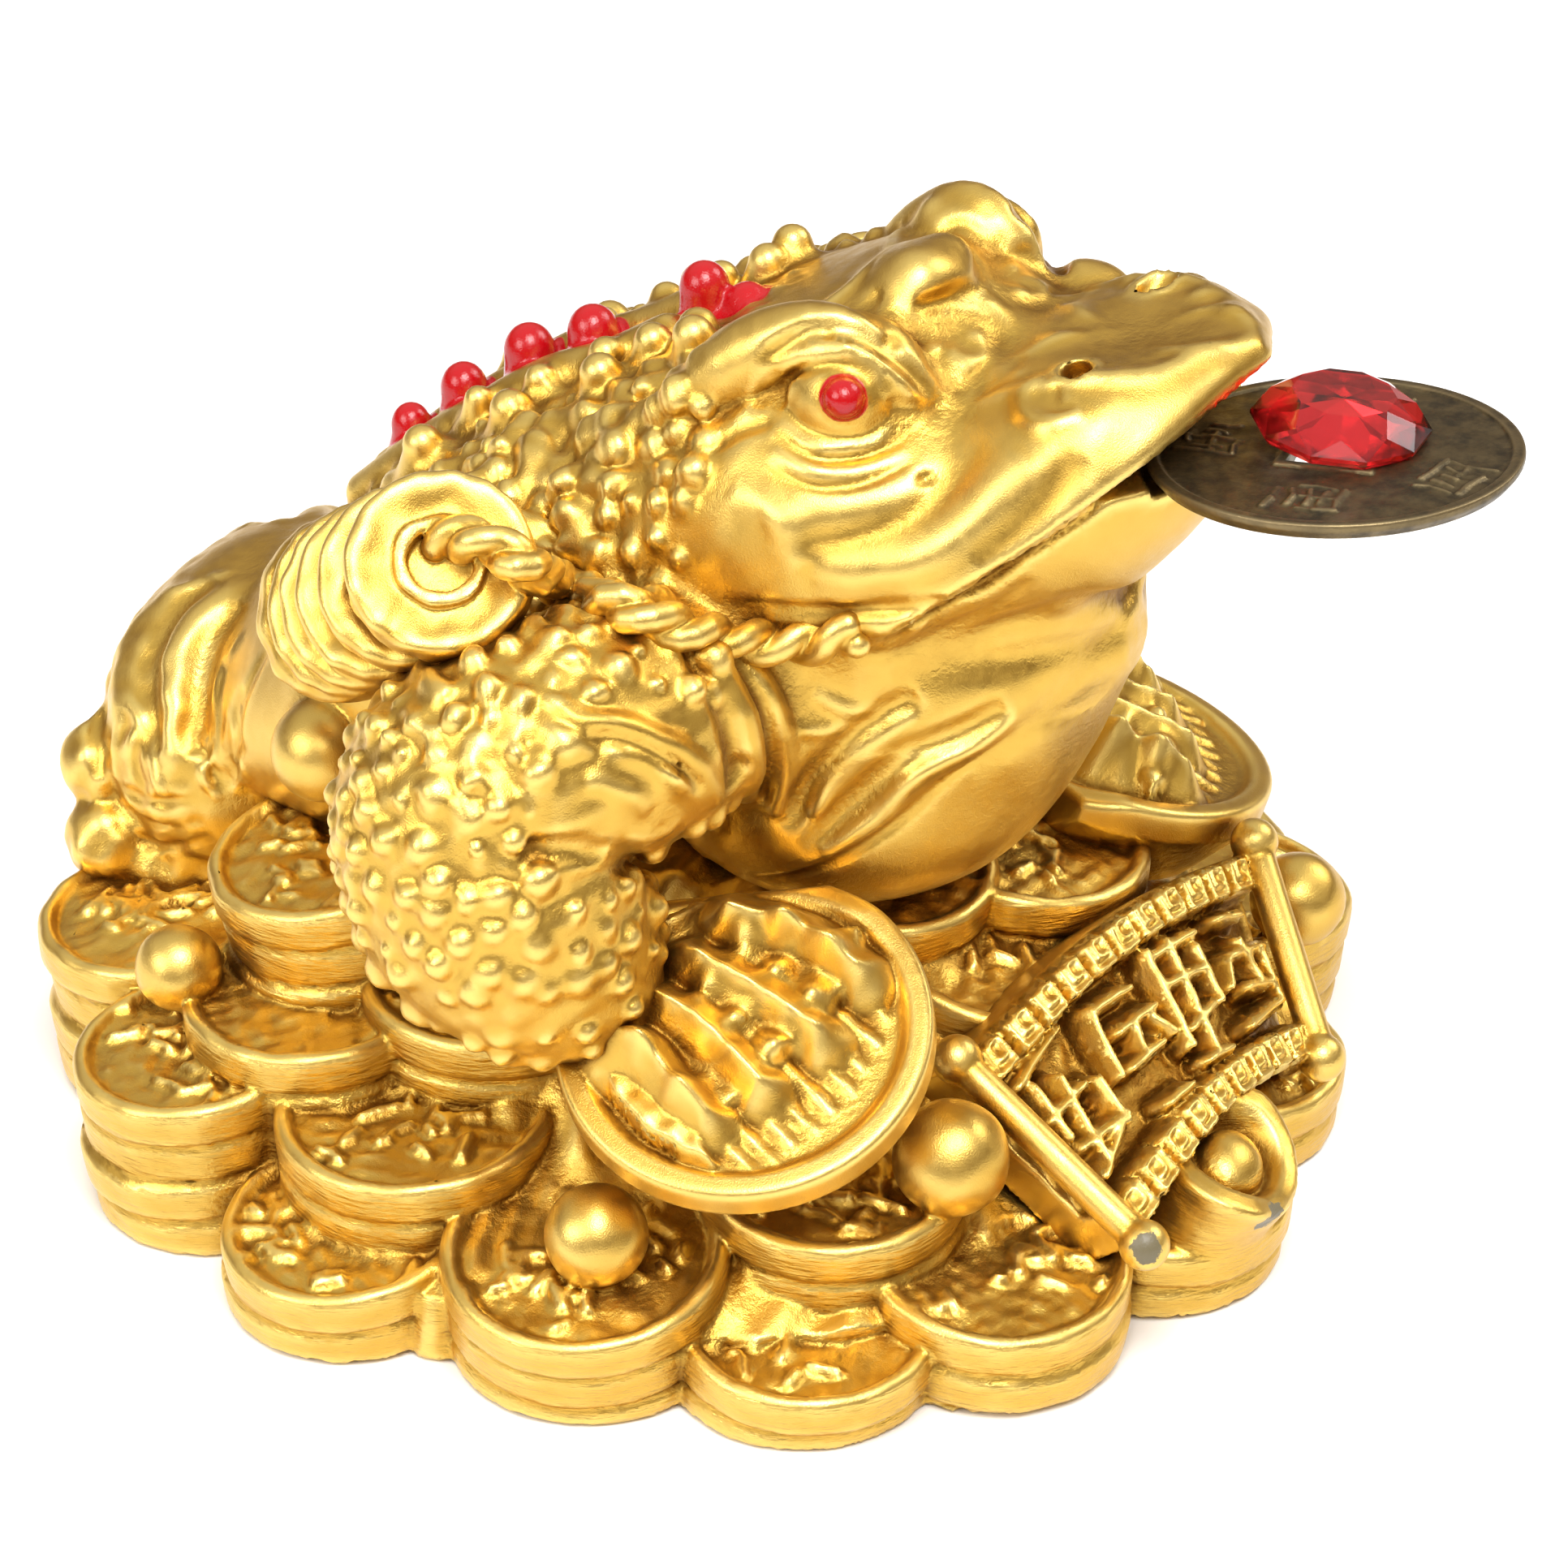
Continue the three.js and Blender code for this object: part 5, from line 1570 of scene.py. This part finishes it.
class Nodes:
    """A material's nodes, made by name and linked."""

    def __init__(self, name):
        self.material = bpy.data.materials.new(name)
        self.material.use_nodes = True
        self.tree = self.material.node_tree
        self.shader = self.tree.nodes["Principled BSDF"]

    def new(self, kind, **settings):
        node = self.tree.nodes.new("ShaderNode" + kind)
        for key, value in settings.items():
            setattr(node, key, value)
        return node

    def put(self, source, target):
        self.tree.links.new(source, target)

    def set(self, socket, value):
        if hasattr(value, "links"):
            self.put(value, socket)
        else:
            socket.default_value = value

    def math(self, operation, a, b=0.0, clamp=False):
        node = self.new("Math", operation=operation, use_clamp=clamp)
        self.set(node.inputs[0], a)
        self.set(node.inputs[1], b)
        return node.outputs[0]

    def spread(self, value, low, high, start=0.0, end=1.0):
        """The value mapped smoothly from one range to another."""
        node = self.new("MapRange", interpolation_type="SMOOTHSTEP")
        for socket, given in zip(node.inputs[:5], (value, low, high, start, end)):
            self.set(socket, given)
        return node.outputs[0]

    def surface(self, **sockets):
        """Sets or links the shader's sockets, with _ for each space in their names."""
        for name, value in sockets.items():
            self.set(self.shader.inputs[name.replace("_", " ")], value)

    def bump(self, height, distance):
        """Turns the shader's normals by a height, over a distance in metres."""
        node = self.new("Bump")
        node.inputs["Strength"].default_value = 0.4
        node.inputs["Distance"].default_value = distance
        self.put(height, node.inputs["Height"])
        self.put(node.outputs["Normal"], self.shader.inputs["Normal"])

    def mix(self, share, a, b):
        node = self.new("Mix", data_type="RGBA")
        self.set(node.inputs[0], share)
        self.set(node.inputs[6], a)
        self.set(node.inputs[7], b)
        return node.outputs[2]

    def place(self):
        """The place on the piece, in millimetres."""
        node = self.new("VectorMath", operation="SCALE")
        self.put(self.new("TexCoord").outputs["Object"], node.inputs[0])
        node.inputs["Scale"].default_value = 1 / MM
        return node.outputs[0]

    def noise(self, place, size, detail=3.0, rough=0.55):
        """Noise from 0 to 1 with features of about the given size in millimetres."""
        node = self.new("TexNoise")
        self.put(place, node.inputs["Vector"])
        node.inputs["Scale"].default_value = 1 / size
        node.inputs["Detail"].default_value = detail
        node.inputs["Roughness"].default_value = rough
        return node.outputs["Fac"]

    def attribute(self, name):
        return self.new("Attribute", attribute_name=name).outputs["Fac"]


def gold_paint(streaks):
    """Metallic gold paint: a painted highlight on the high parts, painted shade of brown in the hollows,
    with red touches, and where streaks are asked for, with fine level lines on the upright walls."""
    n = Nodes("gold_paint")
    place = n.place()
    crevice, hollow = n.attribute("crevice"), n.attribute("hollow")
    patches = n.noise(place, 2.2, 4.0)
    grain = n.noise(place, 0.12, 2.0)
    # Painted highlight: the raised parts, where the space round them is most free, turn towards a lighter
    # gold
    proud = n.spread(crevice, 0.03, 0.28)
    # Painted shade: hollows and creases turn dark brown, a little patchy, and somewhat rougher
    sunk = n.spread(n.math("ADD", n.math("MULTIPLY", crevice, 0.8), hollow), 0.0, -0.45)
    colour = n.mix(n.math("MULTIPLY", proud, 0.85), GOLD, GOLD_PAINTED_HIGHLIGHT)
    painted_shade = n.math("MULTIPLY", sunk, n.spread(patches, 0.25, 0.75, 0.75, 1.0))
    colour = n.mix(painted_shade, colour, GOLD_PAINTED_SHADE)
    wobble = n.math("MULTIPLY", n.math("SUBTRACT", patches, 0.5), 0.5)
    red = n.spread(n.math("ADD", n.attribute("red_gap"), wobble), 0.1, -0.06)
    colour = n.mix(red, colour, RED)
    ragged = n.math("MULTIPLY", n.math("SUBTRACT", n.noise(place, 0.7, 3.0), 0.5), 1.3)
    worn = n.spread(n.math("ADD", n.attribute("worn_gap"), ragged), 0.08, -0.05)
    bare = n.math("MAXIMUM", red, worn)
    rough = n.spread(n.noise(place, 1.1, 3.0), 0.25, 0.75, 0.29, 0.4)
    rough = n.math("ADD", rough, n.math("MULTIPLY", painted_shade, 0.12))
    n.surface(
        Base_Color=n.mix(worn, colour, RESIN),
        Metallic=n.math("SUBTRACT", GOLD_METALLIC, bare, True),
        Roughness=n.math("SUBTRACT", rough, n.math("MULTIPLY", red, 0.28)),
    )
    crumbs = n.math("MULTIPLY", n.noise(place, 0.5, 3.0), n.spread(hollow, 0.15, -0.3, 0.3, 7.0))
    height = n.math("ADD", n.math("ADD", grain, crumbs), n.math("MULTIPLY", patches, 0.5))
    if streaks:
        height = n.math("ADD", height, level_lines(n, place))
    n.bump(height, 0.00005)
    return n.material


def level_lines(n, place):
    """Fine level lines on upright walls, away from the pearls."""
    drawn = n.new("VectorMath", operation="MULTIPLY")
    n.put(place, drawn.inputs[0])
    drawn.inputs[1].default_value = STREAK_SHAPE
    normal = n.new("SeparateXYZ")
    n.put(n.new("NewGeometry").outputs["Normal"], normal.inputs[0])
    upright = n.spread(n.math("ABSOLUTE", normal.outputs[2]), 0.6, 0.2, 0.0, STREAKS)
    upright = n.math("MULTIPLY", upright, n.spread(n.attribute("pearl_gap"), 0.1, 0.4))
    return n.math("MULTIPLY", n.noise(drawn.outputs[0], 0.8, 3.0), upright)


def dark_brass():
    """Brown brass with lighter worn edges and dark ground."""
    n = Nodes("dark_brass")
    place = n.place()
    patches = n.noise(place, 1.6, 5.0, 0.65)
    fine = n.noise(place, 0.25, 3.0)
    colour = n.mix(n.spread(patches, 0.3, 0.7), BRASS_DARK, BRASS)
    raised = n.spread(n.attribute("crevice"), 0.0, 0.3)
    n.surface(
        Base_Color=n.mix(n.math("MULTIPLY", raised, 0.6), colour, BRASS_LIGHT),
        Metallic=0.85,
        Roughness=n.spread(patches, 0.2, 0.8, 0.5, 0.34),
    )
    n.bump(n.math("ADD", fine, patches), 0.00006)
    return n.material


def foil():
    """The silvered back of the stone."""
    n = Nodes("foil")
    silver = n.spread(n.noise(n.place(), 1.5), 0.3, 0.7, 0.1, 0.22)
    n.surface(Base_Color=(0.9, 0.9, 0.9, 1), Metallic=1.0, Roughness=silver)
    return n.material


def red_acrylic():
    n = Nodes("red_acrylic")
    n.surface(Base_Color=(1.0, 0.02, 0.025, 1), Roughness=0.03, IOR=1.5, Transmission_Weight=1.0)
    return n.material


# The casting, as grids that meet inside it

# Red skirts round the tall bead: y, z, radius; and red lines along the spine: x and y on the skin
RED_SKIRTS = [(4.4, 57.6, 2.3)]
RED_LINES = [[(-1.5, 21), (-2, 18), (-1.6, 14.6)], [(-1.2, 11.2), (-1.8, 8), (-1.2, 5.4)]]
RED_LINE_RADIUS = 0.5
# Flash left at the foot of the heap's front, and places where the paint is worn off
BURR_PIXELS = [(770, 1776), (785, 1780), (805, 1782), (828, 1784), (846, 1776), (540, 1712)]
BURR_RADIUS = 0.65
WORN_KNOB_SHIFT = np.array([-0.9, -0.6, 0.4])
WORN_KNOB_RADIUS = 1.1
WORN_PIXELS = [(1572, 1496), (1556, 1508)]
WORN_RADII = [0.85, 0.6]


def heap_clay():
    clay = Clay((-48, -44.6, -1.2), (48, 50.6, 31.4), GRID_STEP)
    heap(clay)
    clay.carve(scroll_sheet(None, bed=True))
    pearls(clay, HEAP_PEARLS)
    ingot(clay)
    for place in clay.seen(BURR_PIXELS):
        clay.add(ball(place, BURR_RADIUS), 0.3)
    clay.roughen(0.04, 1.6, 43)
    clay.field = np.maximum(clay.field, -clay.axes[2][None, None, :])
    return clay


def dish_clay():
    """The upper parts of the two dishes, with the feet on them."""
    clay = Clay((-43.4, -32, 12), (33.4, 3, 31.5), DISH_STEP)
    for place in (RIGHT_DISH, LEFT_DISH):
        clay.add(dish(**place), 0.3)
    foot(clay, False)
    foot(clay, True)
    return clay


def toad_clay():
    clay = Clay((-44.4, -37, 5), (40.6, 53.4, 69), GRID_STEP)
    clay.add(torso(), 0.3)
    clay.add(head(), 3.5)
    clay.add(ball(*THROAT), 3)
    clay.add(ball(*BELLY), 3)
    jaw_step(clay)
    eyes(clay)
    hindquarters(clay)
    for rows in (RIGHT_ARM, LEFT_ARM):
        limb(clay, rows, 18, 2.0)
    skin(clay)
    spikes(clay)
    beads(clay)
    pearls(clay, HIP_PEARLS)
    mouth(clay)
    return clay


def string_clay(left):
    """The string of coins of one flank."""
    low, high = np.array([-38, -27, 29 if left else 34]), np.array([-3, 27, 64])
    if left:
        low[0], high[0] = 3, 38
    clay = Clay(low, high, STRING_STEP)
    coin_string(clay, left)
    return clay


def scroll_clay():
    clay = Clay((-26, -46, 0), (18, -17, 25), SCROLL_STEP)
    scroll(clay)
    return clay


def cast(name, clay, clays, faces_at_most, spots):
    """The mesh of a grid, with what the paint needs to know: how hollow or proud the skin of the
    whole casting is there, for its painted shade and highlight, and how far the spots of each kind are."""
    def nearest(at):
        return np.minimum.reduce([other.sample(at) for other in clays])

    piece = relaxed(thinned(mesh_object(name, *surface_net(clay)), faces_at_most), clay)
    without_scraps(piece)
    places = corners_of(piece)
    shade(piece, clay.slope(places, clay.step))
    for layer, reach in (("crevice", 0.8), ("hollow", 2.6)):
        hollows(piece, layer, reach, nearest, places)
    for layer, rounds in spots.items():
        marks(piece, layer, rounds)
    piece.data.materials.append(gold_paint(name == "gold_heap"))
    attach(piece, "root")
    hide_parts("toad_casting")


def red_paint(toad_part):
    """The spots that are painted red: the spine's beads, lines between them, and the pupils."""
    spots = [((0, y, z - 0.3), BEAD_RADIUS * size + 0.7) for y, z, size, _ in SPINE_BEADS]
    spots += [((0, y, z), radius) for y, z, radius in RED_SKIRTS]
    for places in RED_LINES:
        spots += [(place, RED_LINE_RADIUS) for place in toad_part.under(curve(places, 16))]
    spots += [((-PUPIL[0][0], *PUPIL[0][1:]), PUPIL[1] + 0.2), (FAR_PUPIL[0], FAR_PUPIL[1] + 0.2)]
    return spots


def casting():
    heap_part, toad_part, scroll_part, dish_part = heap_clay(), toad_clay(), scroll_clay(), dish_clay()
    right_part, left_part = string_clay(False), string_clay(True)
    route = rope_route([toad_part, right_part])
    rope(right_part, route)
    fall = np.array([0, 0, LEFT_STRING_DROP]) * np.clip(1 - np.arange(len(route)) / 5, 0, 1)[:, None]
    rope(left_part, mirrored(route) - fall)
    parts = [
        ("gold_heap", heap_part, FACES_AT_MOST), ("gold_toad", toad_part, FACES_AT_MOST),
        ("gold_dishes", dish_part, DISH_FACES), ("gold_string_right", right_part, STRING_FACES),
        ("gold_string_left", left_part, STRING_FACES), ("gold_scroll", scroll_part, SCROLL_FACES),
    ]
    clays = [clay for _, clay, _ in parts]
    worn_spots = [(SCROLL_CORNERS[2] + WORN_KNOB_SHIFT, WORN_KNOB_RADIUS)]
    worn_spots += [(place, radius) for place, radius in zip(heap_part.seen(WORN_PIXELS), WORN_RADII)]
    pearl_spots = [((x, y, z), PEARL_RADIUS * size) for x, y, z, size in HEAP_PEARLS]
    spots = {"red_gap": red_paint(toad_part), "worn_gap": worn_spots, "pearl_gap": pearl_spots}
    for name, clay, faces_at_most in parts:
        cast(name, clay, clays, faces_at_most, spots)


# Token and stone

TOKEN_STEP = 0.13
TOKEN_TAPER = 0.5
TOKEN_SIGNS = [0, 95, 186, 258]
TOKEN_SIGN_REACH = [8, 7.9, 7.6, 8.6]
TOKEN_SIGN_SIZE = (4.8, 4)
TOKEN_HOLE_TURN = math.radians(5)


def token_sign(relief, centre, turn, seed):
    """A few worn level and upright strokes in a block that is turned to face the middle."""
    dice = np.random.default_rng(seed)
    wide, high = TOKEN_SIGN_SIZE
    cos, sin = math.cos(turn), math.sin(turn)

    def at(u, v):
        return centre[0] + u * cos - v * sin, centre[1] + u * sin + v * cos

    def stroke(a, b):
        a, b = (np.array(p) + dice.normal(0, 0.08, 2) for p in (a, b))
        middle = (a + b) / 2 + dice.normal(0, 0.18, 2)
        relief.stroke(at(*a), at(*middle), dice.uniform(0.16, 0.26), dice.uniform(0.1, 0.22))
        relief.stroke(at(*middle), at(*b), dice.uniform(0.16, 0.26), dice.uniform(0.06, 0.22))

    for row in range(3):
        y = high * (row / 2 - 0.5) * 0.8
        stroke((-wide * dice.uniform(0.1, 0.5), y), (wide * dice.uniform(0, 0.5), y))
    for column in range(5):
        x = wide * (column / 4 - 0.5) * 0.9
        stroke((x, -high * dice.uniform(0.1, 0.5)), (x, high * dice.uniform(0.1, 0.5)))


def token():
    clay = Clay((-12.8, -12.8, -1.4), (12.8, 12.8, 1.4), TOKEN_STEP)
    relief = Relief(24, 24, 0.08)
    for seed, turn in enumerate(TOKEN_SIGNS):
        way = math.radians(turn)
        centre = (TOKEN_SIGN_REACH[seed] * math.cos(way), TOKEN_SIGN_REACH[seed] * math.sin(way))
        token_sign(relief, centre, way - math.pi / 2, 71 + seed)
    x, y, z = clay.axes
    x, y, z = x[:, None, None], y[None, :, None], z[None, None, :]
    radial = np.sqrt(x * x + y * y)
    half = TOKEN_THICKNESS / 2
    rim = smooth_step(radial, TOKEN_RADIUS - TOKEN_RIM - 0.15, TOKEN_RADIUS - TOKEN_RIM + 0.05)
    cos, sin = math.cos(TOKEN_HOLE_TURN), math.sin(TOKEN_HOLE_TURN)
    square = np.maximum(np.abs(x * cos + y * sin), np.abs(y * cos - x * sin)) - TOKEN_HOLE / 2
    collar = smooth_step(square, 0.75, 0.6)
    worn = 0.03 * ripple((x, y, 0 * x), 1.2, 5)
    raised = np.maximum(np.maximum(rim, collar) * TOKEN_RIM_HEIGHT, relief.at(x + 0 * y, y + 0 * x))
    top = np.abs(z) - (half - TOKEN_RIM_HEIGHT + np.minimum(raised + worn * (1 - rim), TOKEN_RIM_HEIGHT))
    taper = TOKEN_TAPER * smooth_step(z, half * 0.4, -half)
    made = -smooth_min(-(radial - TOKEN_RADIUS + taper), -top, 0.2)
    clay.field = -smooth_min(-made, square, 0.15).astype(np.float32)
    corners, faces = surface_net(clay)
    turned = corners @ np.array(TOKEN_TURN).T + TOKEN_CENTRE
    piece = thinned(mesh_object("brass_token", turned, faces), TOKEN_FACES)
    flat = (corners_of(piece) - TOKEN_CENTRE) @ np.array(TOKEN_TURN)
    normals = clay.slope(flat, TOKEN_STEP * 0.75) @ np.array(TOKEN_TURN).T
    shade(piece, normals)
    hollows(piece, "crevice", 0.3, clay.sample, flat)
    piece.data.materials.append(dark_brass())
    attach(piece, "root")
    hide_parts("mouth_coin")


GEM_SIDES = 10
GEM_LIFT = TOKEN_THICKNESS / 2 - TOKEN_RIM_HEIGHT + CLEARANCE
# Rings of the stone's corners: radius share, height above its foot, turn in steps. The first ones are
# the foiled back, which is hollowed to facets.
GEM_RINGS = [
    (0.02, 1.5, 0), (0.5, 0.75, 0.5), (0.9, 0.1, 0), (0.95, 0.1, 0), (1, 0.5, 0), (1, 0.75, 0),
    (0.84, 1.75, 0.5), (0.58, 2.65, 0),
]
GEM_FOILED = 2
# It sits askew over the token's hole: how far it leans, towards which angle, and how far it is raised
GEM_TILT, GEM_TOWARDS = 8, 258
GEM_RAISED = 0.35


def stone():
    rings = []
    for share, height, turn in GEM_RINGS:
        angle = (np.arange(GEM_SIDES) + turn) / GEM_SIDES * 2 * math.pi
        x = GEM_OFFSET[0] + GEM_RADIUS * share * np.cos(angle)
        y = GEM_OFFSET[1] + GEM_RADIUS * share * np.sin(angle)
        rings.append(np.stack([x, y, np.full(GEM_SIDES, GEM_LIFT + height)], 1))
    corners = np.vstack(rings)
    faces, foiled = [], []
    for level in range(len(rings) - 1):
        for i in range(GEM_SIDES):
            j = (i + 1) % GEM_SIDES
            a, b = level * GEM_SIDES + i, level * GEM_SIDES + j
            c, d = b + GEM_SIDES, a + GEM_SIDES
            if GEM_RINGS[level][2] == GEM_RINGS[level + 1][2]:
                made = [(a, b, c, d)]
            elif GEM_RINGS[level + 1][2]:
                made = [(a, b, d), (b, c, d)]
            else:
                made = [(a, b, c), (a, c, d)]
            faces += made
            foiled += [level < GEM_FOILED] * len(made)
    faces += [tuple(range(GEM_SIDES))[::-1], tuple(range(len(corners) - GEM_SIDES, len(corners)))]
    foiled += [True, False]
    foot_middle = np.array([*GEM_OFFSET, GEM_LIFT])
    normal = Vector(leaning(GEM_TILT, GEM_TOWARDS))
    lean = np.array(Vector((0, 0, 1)).rotation_difference(normal).to_matrix())
    corners = (corners - foot_middle) @ lean.T + foot_middle + [0, 0, GEM_RAISED]
    turned = corners @ np.array(TOKEN_TURN).T + TOKEN_CENTRE
    data = bpy.data.meshes.new("red_stone")
    data.from_pydata([tuple(c * MM) for c in turned], [], faces)
    data.materials.append(red_acrylic())
    data.materials.append(foil())
    for face, backed in zip(data.polygons, foiled):
        face.material_index = int(backed)
    piece = bpy.data.objects.new("red_stone", data)
    bpy.context.collection.objects.link(piece)
    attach(piece, "root")
    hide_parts("red_gem")


# Floor and light

FLOOR_HALF = 2.0


def add_floor():
    data = bpy.data.meshes.new("floor")
    corners = [(x * FLOOR_HALF, y * FLOOR_HALF, -0.0002) for x, y in ((-1, -1), (1, -1), (1, 1), (-1, 1))]
    data.from_pydata(corners, [], [(0, 1, 2, 3)])
    floor = bpy.data.objects.new("floor", data)
    bpy.context.collection.objects.link(floor)
    n = Nodes("pale_floor")
    n.surface(Base_Color=(0.93, 0.93, 0.93, 1), Roughness=0.8)
    data.materials.append(n.material)


def area_light(name, azimuth, elevation, distance, size, power):
    """A soft light that looks at the toad from a direction, in degrees, at a distance in metres."""
    data = bpy.data.lights.new(name, "AREA")
    data.shape = "RECTANGLE"
    data.size, data.size_y = size
    data.energy = power
    light = bpy.data.objects.new(name, data)
    way = Vector(leaning(90 - elevation, azimuth))
    light.location = Vector((0, 0, 0.03)) + distance * way
    light.rotation_euler = way.to_track_quat("Z", "Y").to_euler()
    bpy.context.collection.objects.link(light)


def add_light():
    world = bpy.data.worlds.new("studio")
    world.use_nodes = True
    nodes = world.node_tree.nodes
    back = nodes["Background"]
    ramp = nodes.new("ShaderNodeValToRGB")
    split = nodes.new("ShaderNodeSeparateXYZ")
    way = nodes.new("ShaderNodeTexCoord")
    world.node_tree.links.new(way.outputs["Generated"], split.inputs[0])
    world.node_tree.links.new(split.outputs["Z"], ramp.inputs["Fac"])
    world.node_tree.links.new(ramp.outputs["Color"], back.inputs["Color"])
    stops = ramp.color_ramp.elements
    stops[0].position, stops[0].color = 0.0, (0.14, 0.09, 0.05, 1)
    stops[1].position, stops[1].color = 1.0, (1, 1, 1, 1)
    for position, colour in ((0.25, (0.36, 0.26, 0.18, 1)), (0.6, (0.88, 0.82, 0.76, 1))):
        stops.new(position).color = colour
    back.inputs["Strength"].default_value = 0.8
    bpy.context.scene.world = world
    area_light("key", 215, 62, 0.8, (0.4, 0.4), 6)
    area_light("back_left", 150, 30, 0.9, (0.5, 0.4), 3.5)
    area_light("right", 320, 40, 0.9, (0.4, 0.4), 2.5)
    area_light("near", 205, 42, 1.1, (0.35, 0.35), 0.7)


add_camera()
casting()
token()
stone()
add_floor()
add_light()
bpy.context.scene.view_settings.view_transform = "Standard"
